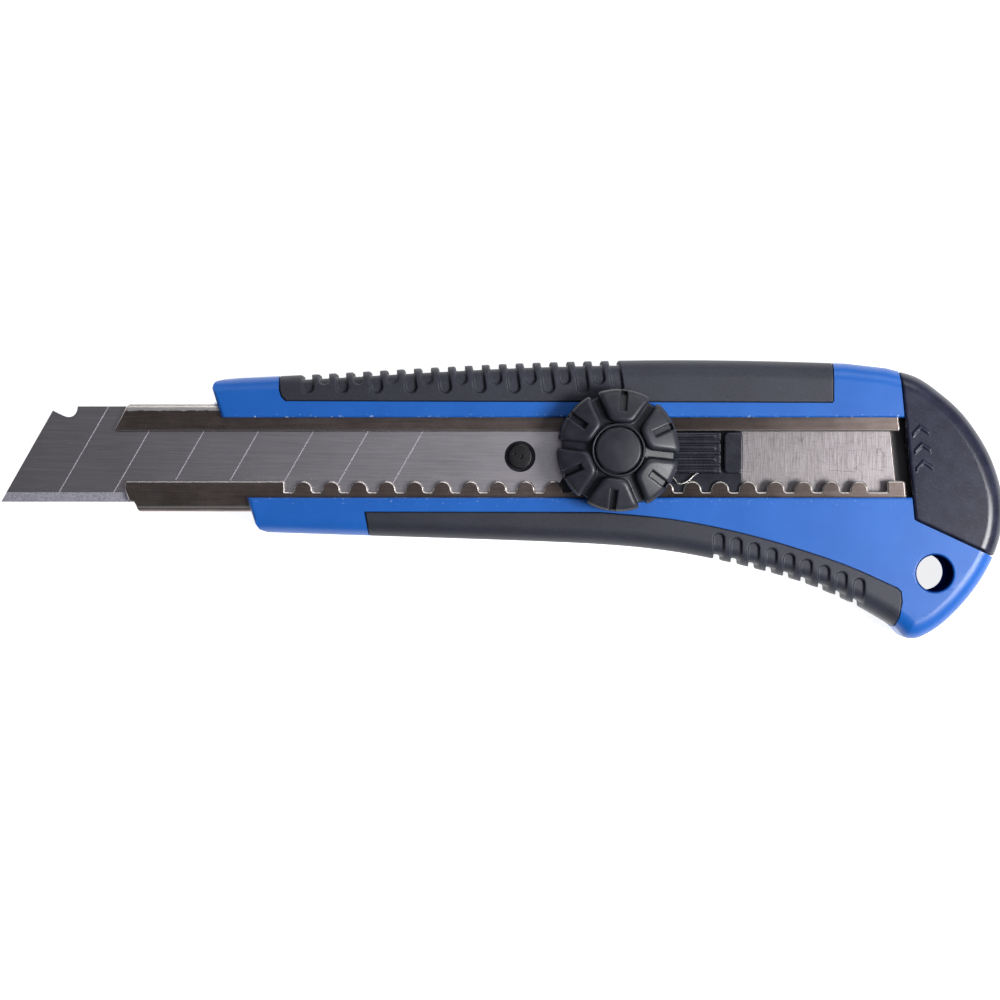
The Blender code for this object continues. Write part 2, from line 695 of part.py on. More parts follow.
def slit_tool(turn, floor):
    """Cuts a slit with a round inner end into a petal's rim."""
    way = Vector((math.cos(turn), math.sin(turn)))
    side = Vector((-way.y, way.x)) * SLIT_W / 2
    inner, outer = AXIS + way * (WHEEL_R - SLIT_L), AXIS + way * (WHEEL_R + 3.0)
    heading = math.degrees(turn)
    ring = [outer - side, outer + side] + arc(inner, SLIT_W / 2, heading + 90, heading + 270, 4)
    return prism("slit", ring, floor, WHEEL_CREST + 3.0)


def lock_wheel(paint):
    """Six petals round a ring, with a hub that reaches down through the handle's slot."""
    rim = WHEEL_R
    profile = [(HUB_R, HUB_BOTTOM), (HUB_R, WHEEL_BOTTOM), (rim - 0.7, WHEEL_BOTTOM),
               (rim, WHEEL_BOTTOM + 0.7), (rim, WHEEL_RIM_TOP - 0.9), (rim - 0.9, WHEEL_RIM_TOP),
               (rim - 3.0, WHEEL_RIM_TOP + 0.9), (5.6, WHEEL_CREST), (5.1, WHEEL_CREST - 0.2),
               (4.9, WHEEL_CREST - 0.8), (CAP_R + 0.2, WHEEL_CREST - 0.8)]
    wheel = lathe("wheel", profile, AXIS, 60)
    for k in range(PETALS):
        turn = PETAL_TURN + k * 2 * math.pi / PETALS
        cut(wheel, groove_tool(turn, WHEEL_RIM_TOP - 1.3))
        cut(wheel, slit_tool(turn + math.pi / PETALS, WHEEL_RIM_TOP - 1.6))
    cut(wheel, lathe("nut seat", [(4.4, 13.0), (4.4, 18.2)], AXIS, 6))
    cut(wheel, lathe("room", [(3.8, 18.0), (3.8, 20.3)], AXIS, 24))
    cut(wheel, lathe("cap seat", [(CAP_R + 0.2, 20.2), (CAP_R + 0.2, 24.0)], AXIS, 32))
    return finish(wheel, "lock_wheel", paint, (AXIS.x, AXIS.y, HUB_BOTTOM))


def wheel_cap(paint):
    """Domed disc that snaps into the middle of the wheel."""
    top = 21.2
    dome = [(CAP_R * math.cos(a), top - 0.7 + 0.7 * math.sin(a))
            for a in (math.radians(15 * k) for k in range(6))]
    profile = [(CAP_R, 20.45)] + dome
    cap = lathe("cap", profile, AXIS, 32)
    return finish(cap, "wheel_cap", paint, (AXIS.x, AXIS.y, 20.45))


def build():
    for obj in list(bpy.data.objects):
        bpy.data.objects.remove(obj)
    blue = material("blue plastic", (0.03, 0.16, 0.66), 0.4)
    soft = material("black soft grip", (0.04, 0.04, 0.05), 0.7)
    black = material("black plastic", (0.02, 0.02, 0.025), 0.35)
    steel = material("blade steel", (0.55, 0.53, 0.53), 0.3, 1.0)
    sheet = material("rail steel", (0.45, 0.42, 0.41), 0.35, 1.0)
    spring = material("spring steel", (0.6, 0.58, 0.55), 0.25, 1.0)
    brass = material("brass", (0.7, 0.5, 0.2), 0.3, 1.0)
    dark = material("blackened steel", (0.04, 0.04, 0.045), 0.4, 0.8)
    handle_body(blue)
    soft_grip("upper_grip", upper_grip_region(), upper_grooves(), soft)
    soft_grip("lower_grip", lower_grip_region(), lower_grooves(), soft)
    end_cap(black)
    blade_rail(sheet)
    blade(steel)
    blade_carrier(black)
    blade_pin(dark)
    detent_spring(spring)
    lock_stud(spring)
    stop_ring(spring)
    clamp_plate(spring)
    lock_wheel(black)
    wheel_nut(brass)
    wheel_cap(black)


build()
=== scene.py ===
"""Looks of the utility knife: fine meshes, materials, light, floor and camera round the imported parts.

The knife lies on its back: +X from the blade's tip to the end cap, +Y to the spine, +Z out of the
front face. Shapes are worked out in millimetres, and each finished piece is turned into metres.
"""

import json
import math

import bmesh
import bpy
import numpy as np
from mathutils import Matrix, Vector


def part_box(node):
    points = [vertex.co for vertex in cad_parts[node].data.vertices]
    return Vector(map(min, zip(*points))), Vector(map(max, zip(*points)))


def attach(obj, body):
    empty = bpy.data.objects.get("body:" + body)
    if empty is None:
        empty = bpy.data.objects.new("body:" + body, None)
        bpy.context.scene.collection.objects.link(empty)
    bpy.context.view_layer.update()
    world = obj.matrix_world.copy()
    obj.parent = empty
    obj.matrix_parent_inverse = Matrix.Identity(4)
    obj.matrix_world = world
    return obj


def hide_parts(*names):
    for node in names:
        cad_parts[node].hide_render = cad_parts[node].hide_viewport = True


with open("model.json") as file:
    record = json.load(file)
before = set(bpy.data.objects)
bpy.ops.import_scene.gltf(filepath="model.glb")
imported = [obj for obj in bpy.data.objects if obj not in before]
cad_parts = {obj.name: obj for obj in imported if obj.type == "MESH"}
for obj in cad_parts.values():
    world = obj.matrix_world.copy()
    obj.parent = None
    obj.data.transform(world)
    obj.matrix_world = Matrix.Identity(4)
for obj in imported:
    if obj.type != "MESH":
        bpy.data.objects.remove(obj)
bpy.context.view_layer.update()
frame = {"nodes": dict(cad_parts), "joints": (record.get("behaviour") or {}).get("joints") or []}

MM = 0.001


def node_box(node):
    """A CAD node's lowest and highest corners, in millimetres."""
    low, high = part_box(node)
    return low / MM, high / MM


# ---- sizes, in millimetres

GAP = 0.2                       # between pieces that touch on the real knife
HANDLE_T = node_box("handle_body")[1].z
EDGE_R = 3.3                    # rounding of the handle's long edges
NOSE_R = 0.9                    # rounding of its front end
SHEET = 0.6                     # rail's sheet steel

RAIL_LOW, RAIL_HIGH = (corner.y for corner in node_box("blade_rail"))
RAIL_BOTTOM, RAIL_TOP = (corner.z for corner in node_box("blade_rail"))
LIP_LOW = 3.37                  # edge of the notched lip
LIP_HIGH = 12.45                # edge of the plain lip
BEND_R = 1.3
SLOT_LOW = 0.35                 # slot in the handle's front face
SLOT_HIGH = 14.96
SLOT_EASE = 0.45                # rounding of the slot's front edges
BED_TOP = RAIL_TOP + 0.1

NOTCH_PITCH = 5.085
NOTCH_COUNT = 22
NOTCH_FIRST = -39.8
NOTCH_FLOOR = 1.36
TOOTH_R = 1.65
LIP_BACK = 0.95                 # how far the rail's lips and floor end before the cap
FLOOR_BACK = 2.2

BLADE_LOW, BLADE_HIGH = node_box("blade")
SNAP_SLOPE = math.tan(math.radians(30.0))
SNAP_PITCH = 10.04
SNAP_COUNT = 7
SNAP_FIRST = -82.2              # first score line, at the cutting edge
EDGE_BAND = 1.76                # width of the ground edge
PIN = sum(node_box("blade_pin"), Vector()) / 2
PIN_HOLE_R = 2.85
PIN_R = 2.3

AXIS = next(Vector(j["pos_m"]) / MM for j in frame["joints"] if j["name"] == "wheel_turn")
WHEEL_R = 11.1
WHEEL_BOTTOM = AXIS.z
WHEEL_CREST = node_box("lock_wheel")[1].z
PETAL_TURN = math.radians(-6.0)  # direction of the first groove between petals
PETAL_SHARE = math.radians(60.0)
PETAL_START = 5.0
GROOVE_W, GROOVE_DEPTH = 1.4, 2.3
SLIT_W, SLIT_DEPTH = 1.1, 1.5
SLIT_START = 7.2
RIM_STEP = 0.85                 # how far the base stands back from the petals' rim
SLIT_STEP = 0.45                # how far in a slit notches the rim from top to bottom
RING_R, RING_HALF = 4.62, 0.22  # low ring round the cap
HUB_R = 5.6
NUT_R = 4.4                     # corner of the hexagonal nut's seat
HUB_BOTTOM = node_box("lock_wheel")[0].z
CAP_R = 4.15
CAP_TOP = node_box("wheel_cap")[1].z

CARRIER_LOW, CARRIER_HIGH = node_box("blade_carrier")
CARRIER_TOP = RAIL_TOP - SHEET - 0.25
TONGUE_TOP = BLADE_LOW.z - GAP
STUD_R = 2.5
STUD_HEAD = 7.2                 # width of its square head
STUD_SHOULDER = 11.0            # top of the head

# The end cap's joint face leans, and the cap slides along it
CAP_FOOT = Vector((75.3, -3.6))
CAP_LEAN = math.radians(5.5)
CAP_SLIDE = Vector((-math.sin(CAP_LEAN), math.cos(CAP_LEAN)))
CAP_OUT = Vector((math.cos(CAP_LEAN), math.sin(CAP_LEAN)))
TAIL_SLOPE = math.radians(-25.0)
MAGAZINE = ((-33.0, -1.5, 2.0), (90.0, 17.5, 7.2))

LANYARD = Vector((78.95, -13.5))
LANYARD_R = 3.3
LANYARD_RIM = 0.5

GRIP_SIDE = 2.0                 # how deep the soft material goes, on the edge and on the faces
GRIP_FACE = 1.2
CORE_R = 1.2                    # rounding of what lies under it

PAST = 2.0                      # how far a cutter runs past what it cuts
FAR_FRONT, FAR_REAR = -70.0, 90.0   # past the handle's two ends


# ---- outlines

def smooth(points, steps):
    """Points on a Catmull-Rom curve through the given points, ends included."""
    knots = [Vector(p) for p in points]
    first = knots[0] * 2 - knots[1]
    last = knots[-1] * 2 - knots[-2]
    padded = [first] + knots + [last]
    curve = []
    for i in range(1, len(padded) - 2):
        a, b, c, d = padded[i - 1:i + 3]
        for k in range(steps):
            t = k / steps
            curve.append(
                0.5 * (2 * b + (c - a) * t
                       + (2 * a - 5 * b + 4 * c - d) * t * t
                       + (3 * b - a - 3 * c + d) * t ** 3))
    return curve + [knots[-1]]


def arc(centre, radius, start, end, count):
    """Points on an arc, angles in degrees."""
    turn = [math.radians(start + (end - start) * k / count) for k in range(count + 1)]
    return [Vector(centre) + radius * Vector((math.cos(a), math.sin(a))) for a in turn]


def left_normal(a, b):
    """Unit normal on the left of the way from a to b: inwards on a counter-clockwise outline."""
    way = (b - a).normalized()
    return Vector((-way.y, way.x))


def inset(outline, distance):
    """A counter-clockwise outline moved inwards. An edge that shrinks to nothing stays shut."""
    steps = math.ceil(abs(distance) / 0.08) + 1
    ring = [Vector(p) for p in outline]
    count = len(ring)
    shut = [False] * count      # edge i runs from vertex i to vertex i + 1
    for _ in range(steps):
        moved = list(ring)
        for i in range(count):
            before = (i - 1) % count
            while shut[before]:
                before = (before - 1) % count
            after = i
            while shut[after]:
                after = (after + 1) % count
            n0 = left_normal(ring[before], ring[(before + 1) % count])
            n1 = left_normal(ring[after], ring[(after + 1) % count])
            moved[i] = ring[i] + (n0 + n1) / max(1 + n0.dot(n1), 0.3) * (distance / steps)
        for i in range(count):
            j = (i + 1) % count
            if not shut[i] and (moved[j] - moved[i]).dot(ring[j] - ring[i]) <= 0:
                shut[i] = True
        for i in range(count):
            if shut[i] and not shut[i - 1]:
                run = [i]
                while shut[run[-1]]:
                    run.append((run[-1] + 1) % count)
                middle = sum((moved[k] for k in run), Vector((0.0, 0.0))) / len(run)
                for k in run:
                    moved[k] = middle.copy()
        ring = moved
    return ring


def handle_outline(steps=6, nose=True):
    """Outside of the whole handle, end cap included, seen from the front, counter-clockwise.

    Without its nose, belly and spine run on past it."""
    belly = smooth([(-43.0, -6.05), (-26.3, -6.6), (-8.7, -7.15), (7.0, -7.7), (18.5, -8.25),
                    (27.4, -9.05), (36.0, -10.35), (46.0, -12.6), (56.0, -15.5), (65.0, -19.3),
                    (71.2, -22.8)], steps)
    tail = smooth([(72.4, -23.9), (73.6, -25.2), (75.2, -25.55), (77.2, -25.0), (80.6, -22.85),
                   (84.9, -18.6), (88.7, -13.2), (91.2, -7.3), (91.87, -1.3), (91.0, 3.9),
                   (88.7, 9.6), (84.6, 15.6), (80.0, 19.8), (75.8, 22.55), (70.5, 24.1)], steps)
    spine = smooth([(62.9, 24.96), (46.0, 25.42), (28.0, 25.55), (6.4, 25.1), (-12.6, 24.2),
                    (-31.5, 23.1), (-48.0, 22.3)], steps)
    if nose:
        front = smooth([(-50.9, 22.0), (-52.5, 21.5), (-53.0, 20.3)], 3)
        front += smooth([(-45.15, -4.4), (-44.4, -5.5)], 2)
    else:
        front = [(-64.0, 21.4), (-64.0, -5.6)]
    return belly + tail + spine + front


def upper_grip_region():
    """Where the soft upper grip lies, seen from the front: past the outline on the spine's side."""
    return [(-40.95, 30.0), (-40.8, 20.0), (-40.4, 18.7), (-39.6, 17.9), (60.25, 17.6),
            (60.6, 17.95), (60.6, 30.0)]


def lower_grip_region():
    """Where the soft lower grip lies, seen from the front: past the outline on the belly's side."""
    edge = smooth([(17.9, -2.25), (30.0, -3.4), (41.0, -5.4), (52.0, -8.3), (63.0, -12.0),
                   (72.2, -16.1)], 5)
    ring = [(-25.2, -2.2), *edge, (72.9, -16.8), (73.1, -18.7), (72.6, -21.5), (71.7, -23.6),
            (71.7, -30.0), (-23.8, -30.0), (-24.4, -6.8)]
    return ring[::-1]


def cap_region():
    """Right of the cap's joint face and above the tail, well past the outline."""
    top = CAP_FOOT + CAP_SLIDE * 36
    corner = CAP_FOOT + Vector((0.5, -0.35))
    far = corner + Vector((math.cos(TAIL_SLOPE), math.sin(TAIL_SLOPE))) * 24
    return [CAP_FOOT, corner, far, (far.x, top.y), top]


def at_cap(out, along):
    """A point given by its distance out of the cap's joint face and along it, from its foot."""
    return CAP_FOOT + CAP_OUT * out + CAP_SLIDE * along


# ---- solids from rings

def add_object(name, data):
    """An object in the scene that holds a mesh, a light or a camera."""
    obj = bpy.data.objects.new(name, data)
    bpy.context.scene.collection.objects.link(obj)
    return obj


def new_object(name, mesh_data):
    """An object holding what a bmesh describes, still in millimetres."""
    bmesh.ops.remove_doubles(mesh_data, verts=mesh_data.verts, dist=0.002)
    bmesh.ops.dissolve_degenerate(mesh_data, edges=mesh_data.edges, dist=0.002)
    bmesh.ops.recalc_face_normals(mesh_data, faces=mesh_data.faces)
    mesh = bpy.data.meshes.new(name)
    mesh_data.to_mesh(mesh)
    mesh_data.free()
    return add_object(name, mesh)


def loft(name, rings):
    """A closed solid through rings of equal length, each a list of 3-D points, with flat ends."""
    mesh_data = bmesh.new()
    rows = [[mesh_data.verts.new(p) for p in ring] for ring in rings]
    count = len(rows[0])
    for low, high in zip(rows, rows[1:]):
        for i in range(count):
            j = (i + 1) % count
            mesh_data.faces.new((low[i], low[j], high[j], high[i]))
    mesh_data.faces.new(rows[0][::-1])
    mesh_data.faces.new(rows[-1])
    return new_object(name, mesh_data)


def level(outline, z):
    return [Vector((p[0], p[1], z)) for p in outline]


def prism(name, outline, bottom, top):
    return loft(name, [level(outline, bottom), level(outline, top)])


def box(name, low, high):
    (x0, y0, z0), (x1, y1, z1) = low, high
    return prism(name, [(x0, y0), (x1, y0), (x1, y1), (x0, y1)], z0, z1)


def slab(name, outline, bottom, top, radius, count=8):
    """A prism whose long edges are rounded, front and back."""
    turns = [math.pi / 2 * k / count for k in range(count + 1)]
    rings = []
    for face, inwards, row in ((bottom, 1, turns[::-1]), (top, -1, turns)):
        for turn in row:
            ring = inset(outline, radius * (1 - math.cos(turn)))
            rings.append(level(ring, face + inwards * radius * (1 - math.sin(turn))))
    return loft(name, rings)


def lathe(name, profile, centre, count):
    """A round solid from a profile of (radius, z) points, run from its foot to its top."""
    angles = [2 * math.pi * k / count for k in range(count)]
    circle = [Vector((math.cos(a), math.sin(a))) for a in angles]
    middle = Vector(centre[:2])
    return loft(name, [level([middle + p * radius for p in circle], z) for radius, z in profile])


def along_x(name, section, start, end):
    """A solid with the given (y, z) section, from one x to another."""
    return loft(name, [[(start, y, z) for y, z in section], [(end, y, z) for y, z in section]])


def boolean(target, tool, operation):
    """Joins, cuts or intersects target with tool, and removes tool."""
    modifier = target.modifiers.new(operation, "BOOLEAN")
    modifier.operation = operation
    modifier.object = tool
    modifier.solver = "EXACT"
    bake_modifiers(target)
    bpy.data.objects.remove(tool)


def bake_modifiers(obj):
    """Replaces an object's mesh by what its modifiers make of it."""
    shape = obj.evaluated_get(bpy.context.evaluated_depsgraph_get())
    mesh = bpy.data.meshes.new_from_object(shape)
    obj.modifiers.clear()
    old = obj.data
    obj.data = mesh
    bpy.data.meshes.remove(old)


def cut(target, *tools):
    for tool in tools:
        boolean(target, tool, "DIFFERENCE")
    return target


def ease_edges(obj, width, angle):
    """Small rounding on every edge sharper than the angle."""
    modifier = obj.modifiers.new("ease", "BEVEL")
    modifier.width = width
    modifier.segments = 2
    modifier.limit_method = "ANGLE"
    modifier.angle_limit = math.radians(angle)
    modifier.use_clamp_overlap = False


# ---- solids from distance fields

def blend_max(a, b, soft):
    """The larger of two distances, with a rounded corner where they cross."""
    near = np.maximum(soft - np.abs(a - b), 0.0)
    return np.maximum(a, b) + near * near / (4 * soft)


def blend_min(a, b, soft):
    """The smaller of two distances, with a filled corner where they cross."""
    return -blend_max(-a, -b, soft)


def outline_field(ring, low, high, pitch=0.1):
    """Signed distance to a closed outline as a function of x and y, negative inside.

    It is worked out on a grid over the box from low to high, and read between the grid's points."""
    xs = np.arange(low[0] - 1.0, high[0] + 1.0, pitch)
    ys = np.arange(low[1] - 1.0, high[1] + 1.0, pitch)
    x, y = xs[:, None], ys[None, :]
    nearest = np.full((len(xs), len(ys)), np.inf)
    inside = np.zeros(nearest.shape, bool)
    starts = [(p[0], p[1]) for p in ring]
    for (ax, ay), (bx, by) in zip(starts, starts[1:] + starts[:1]):
        ex, ey = bx - ax, by - ay
        size = max(ex * ex + ey * ey, 1e-9)
        share = np.clip(((x - ax) * ex + (y - ay) * ey) / size, 0, 1)
        nearest = np.minimum(nearest, (x - ax - share * ex) ** 2 + (y - ay - share * ey) ** 2)
        if ay != by:
            inside ^= ((ay > y) != (by > y)) & (x < ax + (y - ay) * ex / ey)
    table = np.where(inside, -1, 1) * np.sqrt(nearest)

    def distance(x, y):
        u = np.clip((x - xs[0]) / pitch, 0, len(xs) - 1.001)
        v = np.clip((y - ys[0]) / pitch, 0, len(ys) - 1.001)
        i, j = u.astype(int), v.astype(int)
        u, v = u - i, v - j
        return ((table[i, j] * (1 - u) + table[i + 1, j] * u) * (1 - v)
                + (table[i, j + 1] * (1 - u) + table[i + 1, j + 1] * u) * v)

    return distance


def rounded_both(side, end, radius):
    """Distance to a solid from the distances to its side and to its ends, edges rounded."""
    a, b = side + radius, end + radius
    return np.hypot(np.maximum(a, 0), np.maximum(b, 0)) + np.minimum(np.maximum(a, b), 0) - radius


def between(z, low, high):
    """Distance to the layer between two levels."""
    return np.maximum(low - z, z - high)


def segment_field(x, y, start, end, radius):
    """Distance to a bar with round ends."""
    ex, ey = end[0] - start[0], end[1] - start[1]
    share = np.clip(((x - start[0]) * ex + (y - start[1]) * ey) / (ex * ex + ey * ey), 0, 1)
    return np.hypot(x - start[0] - share * ex, y - start[1] - share * ey) - radius


def block_field(x, y, z, low, high, radius):
    """Distance to a box with rounded edges."""
    away = [np.abs(p - (a + b) / 2) - (b - a) / 2 + radius for p, a, b in zip((x, y, z), low, high)]
    outside = np.sqrt(sum(np.maximum(d, 0) ** 2 for d in away))
    return outside + np.minimum(np.maximum(np.maximum(away[0], away[1]), away[2]), 0) - radius


def slope_of(field, points, reach):
    """A field's gradient at the points."""
    rises = [field(*(points + step).T) - field(*(points - step).T) for step in np.eye(3) * reach]
    return np.stack(rises, axis=1) / (2 * reach)


def net_points(axes, grid, cells, step):
    """In each cell, the middle of the places where the surface crosses the cell's edges."""
    total = np.zeros((len(cells), 3))
    hits = np.zeros(len(cells))
    for axis in range(3):
        for u in (0, 1):
            for v in (0, 1):
                start = np.insert([u, v], axis, 0)
                end = np.insert([u, v], axis, 1)
                a = grid[tuple((cells + start).T)]
                b = grid[tuple((cells + end).T)]
                crosses = (a < 0) != (b < 0)
                share = np.where(crosses, a / np.where(crosses, a - b, 1), 0)
                total += crosses[:, None] * (start + share[:, None] * (end - start))
                hits += crosses
    corner = np.stack([axes[i][cells[:, i]] for i in range(3)], axis=1)
    return corner + total / hits[:, None] * step


def net_quads(inside, number):
    """A face round each grid edge that the surface crosses, through the four cells beside it."""
    quads = []
    for axis in range(3):
        order = (axis, (axis + 1) % 3, (axis + 2) % 3)
        here = np.transpose(inside, order)
        ids = np.transpose(number, order)
        edges = np.argwhere(here[:-1, 1:-1, 1:-1] != here[1:, 1:-1, 1:-1]) + (0, 1, 1)
        around = [ids[edges[:, 0], edges[:, 1] - a, edges[:, 2] - b]
                  for a, b in ((1, 1), (0, 1), (0, 0), (1, 0))]
        quad = np.stack(around, axis=1)
        backwards = ~here[tuple(edges.T)]
        quad[backwards] = quad[backwards][:, ::-1]
        quads.append(quad)
    return np.concatenate(quads)


def surface(name, field, low, high, step):
    """A closed mesh where a distance field is zero, one vertex in each grid cell it crosses."""
    axes = [np.arange(a - 2 * step, b + 2 * step, step) for a, b in zip(low, high)]
    x, y, z = axes[0][:, None, None], axes[1][None, :, None], axes[2][None, None, :]
    grid = np.broadcast_to(field(x, y, z), [len(a) for a in axes])
    inside = grid < 0
    sides = (slice(0, -1), slice(1, None))
    corners = [inside[i, j, k] for i in sides for j in sides for k in sides]
    mixed = np.any(corners, axis=0) & ~np.all(corners, axis=0)
    cells = np.argwhere(mixed)
    number = np.full(mixed.shape, -1, np.int32)
    number[mixed] = np.arange(len(cells))
    points = net_points(axes, grid, cells, step)
    for _ in range(2):
        slope = slope_of(field, points, step / 4)
        shift = field(*points.T) / np.maximum((slope ** 2).sum(axis=1), 0.2)
        points = points - slope * np.clip(shift, -step / 2, step / 2)[:, None]
    normals = slope_of(field, points, step / 4)
    normals /= np.maximum(np.linalg.norm(normals, axis=1), 1e-6)[:, None]
    mesh = bpy.data.meshes.new(name)
    mesh.from_pydata(points.tolist(), [], net_quads(inside, number).tolist())
    mesh.shade_smooth()
    mesh.normals_split_custom_set_from_vertices(normals.tolist())
    return add_object(name, mesh)


# ---- finishing a piece

def place(obj, name, paint, body, node):
    """Turns a finished piece into metres, gives it its material and lets it ride on a body."""
    obj.name = name
    obj.data.name = name
    obj.data.materials.clear()
    obj.data.materials.append(paint)
    coordinates = np.empty(len(obj.data.vertices) * 3, np.float32)
    obj.data.vertices.foreach_get("co", coordinates)
    obj.data.vertices.foreach_set("co", coordinates * MM)
    obj.data.update()
    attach(obj, body)
    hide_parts(node)


def shade_by_angle(obj, degrees=32.0):
    obj.data.shade_smooth()
    obj.data.set_sharp_from_angle(angle=math.radians(degrees))


def flatten_normals(obj):
    """Large faces keep their own normal right up to their eased edges."""
    modifier = obj.modifiers.new("weighted", "WEIGHTED_NORMAL")
    modifier.keep_sharp = True
    modifier.weight = 100


# ---- material helpers

class Look:
    """A material or a world that is being shaded. Most methods add a node and return its output."""

    def __init__(self, owner):
        owner.use_nodes = True
        self.owner = owner
        self.tree = owner.node_tree

    def put(self, value, socket):
        """Links another socket to this one, or sets it to a number, a vector or a colour."""
        if isinstance(value, bpy.types.NodeSocket):
            self.tree.links.new(value, socket)
        elif socket.type == "RGBA":
            socket.default_value = (*value, 1.0)
        else:
            socket.default_value = value

    def node(self, kind, inputs=None, **settings):
        made = self.tree.nodes.new("ShaderNode" + kind)
        for key, value in settings.items():
            setattr(made, key, value)
        for key, value in (inputs or {}).items():
            self.put(value, made.inputs[key])
        return made

    def spot(self, stretch=(1.0, 1.0, 1.0), turn=0.0):
        """The place on the piece, turned about Z and in millimetres times a stretch."""
        spot = self.node("TexCoord").outputs["Object"]
        if turn:
            spot = self.node("Mapping", {"Vector": spot, "Rotation": (0.0, 0.0, turn)}).outputs[0]
        scale = tuple(s / MM for s in stretch)
        return self.node("Mapping", {"Vector": spot, "Scale": scale}).outputs[0]

    def noise(self, scale, detail=3.0, roughness=0.55, stretch=(1.0, 1.0, 1.0), turn=0.0):
        inputs = {"Vector": self.spot(stretch, turn), "Scale": scale, "Detail": detail,
                  "Roughness": roughness}
        return self.node("TexNoise", inputs).outputs["Fac"]

    def span(self, value, low, high, out_low=0.0, out_high=1.0):
        """Maps low..high to out_low..out_high, clamped."""
        inputs = {"Value": value, "From Min": low, "From Max": high, "To Min": out_low,
                  "To Max": out_high}
        return self.node("MapRange", inputs).outputs["Result"]

    def maths(self, operation, a, b=0.0):
        return self.node("Math", {0: a, 1: b}, operation=operation).outputs["Value"]

    def times(self, a, b):
        return self.maths("MULTIPLY", a, b)

    def plus(self, a, b):
        return self.maths("ADD", a, b)

    def most(self, a, b):
        return self.maths("MAXIMUM", a, b)

    def off(self, value, middle=0.0):
        """How far a value is from the middle, on either side."""
        return self.maths("ABSOLUTE", self.maths("SUBTRACT", value, middle))

    def mix(self, share, a, b):
        """Colour a where share is 0 and colour b where it is 1."""
        return self.node("Mix", {0: share, 6: a, 7: b}, data_type="RGBA").outputs[2]

    def axes(self, vector):
        """A vector's x, y and z."""
        return self.node("SeparateXYZ", {"Vector": vector}).outputs

    def bump(self, height, depth):
        """A normal from a height of 0 to 1, as deep as the given distance in millimetres."""
        return self.node("Bump", {"Height": height, "Distance": depth * MM}).outputs["Normal"]

    def shade(self, inputs):
        """Gives the shader its inputs, and returns the finished material."""
        for name, value in inputs.items():
            self.put(value, self.tree.nodes["Principled BSDF"].inputs[name])
        return self.owner


def new_look(name):
    return Look(bpy.data.materials.new(name))


def blue_plastic():
    """Satin moulded ABS: faint mottling, moulded texture, pale scuffs, flecks along the slot, and
    painted shade in the lanyard hole and the rail's bed.
    """
    look = new_look("blue_plastic")
    x, y, z = look.axes(look.spot())
    mottle = look.noise(0.12, 4.0)
    grain = look.noise(5.0, 2.0)
    colour = look.mix(look.span(mottle, 0.3, 0.7), (0.005, 0.1, 0.425), (0.01, 0.12, 0.485))

    scuff = look.span(look.noise(1.0, 5.0, 0.7, (0.35, 1.6, 1.0), 0.6), 0.7, 0.8, 0.0, 0.4)
    fleck = look.span(look.noise(1.5, 3.0, 0.7, (1.0, 1.3, 1.0)), 0.62, 0.68, 0.0, 0.9)
    near_slot = look.most(look.span(look.off(y, SLOT_HIGH + 0.2), 0.25, 0.45, 1.0, 0.0),
                          look.span(look.off(y, SLOT_LOW - 0.6), 0.3, 1.2, 0.35, 0.0))
    colour = look.mix(look.most(scuff, look.times(fleck, near_slot)), colour, (0.5, 0.62, 0.85))

    # Painted shade: the lanyard hole's wall loses its reflection and is darkened, and the rail's bed
    # behind the rail is darkened, where deep shadow falls
    from_lanyard = look.node("VectorMath", {0: look.spot((1.0, 1.0, 0.0)), 1: (*LANYARD, 0.0)},
                             operation="DISTANCE").outputs["Value"]
    bore_shade = look.span(from_lanyard, LANYARD_R + 0.05, LANYARD_R + 0.45, 1.0, 0.0)
    colour = look.mix(bore_shade, colour, (0.002, 0.01, 0.08))
    middle, half = (RAIL_LOW + RAIL_HIGH) / 2, (RAIL_HIGH - RAIL_LOW) / 2 + 0.2
    bed = look.times(look.span(z, RAIL_BOTTOM, RAIL_BOTTOM + 0.2, 1.0, 0.0), look.span(z, 8.0, 8.2))
    bed = look.times(bed, look.span(look.off(y, middle), half, half + 0.2, 1.0, 0.0))
    bed_shade = look.times(bed, look.span(x, 60.0, 65.0))
    colour = look.mix(bed_shade, colour, (0.05, 0.047, 0.052))
    return look.shade({
        "Base Color": colour,
        "Specular IOR Level": look.span(bore_shade, 0.0, 0.9, 0.5, 0.0),
        "Roughness": look.span(grain, 0.3, 0.7, 0.3, 0.4),
        "Normal": look.bump(look.plus(grain, look.times(mottle, 2.0)), 0.012)})


def soft_grip_paint():
    """Matt elastomer: speckled, with dust-fine pale specks, and painted shade that darkens it towards
    the blade.
    """
    look = new_look("soft_grip")
    x, _, _ = look.axes(look.spot())
    speckle = look.noise(3.2, 4.0, 0.7)
    colour = look.mix(look.span(speckle, 0.3, 0.7), (0.009, 0.01, 0.019), (0.027, 0.029, 0.047))
    worn = look.span(look.noise(0.1, 2.0), 0.35, 0.7, 0.0, 0.5)
    colour = look.mix(worn, colour, (0.03, 0.033, 0.052))
    # Painted shade: darker towards the blade, where less light falls
    colour = look.mix(look.span(x, -40.0, 40.0, 0.6, 1.0), (0.004, 0.004, 0.009), colour)
    dust = look.node("TexVoronoi", {"Vector": look.spot(), "Scale": 1.1}).outputs["Distance"]
    colour = look.mix(look.span(dust, 0.03, 0.07, 0.35, 0.0), colour, (0.3, 0.3, 0.34))
    return look.shade({
        "Base Color": colour,
        "Roughness": look.span(speckle, 0.3, 0.7, 0.46, 0.6),
        "Normal": look.bump(speckle, 0.03)})


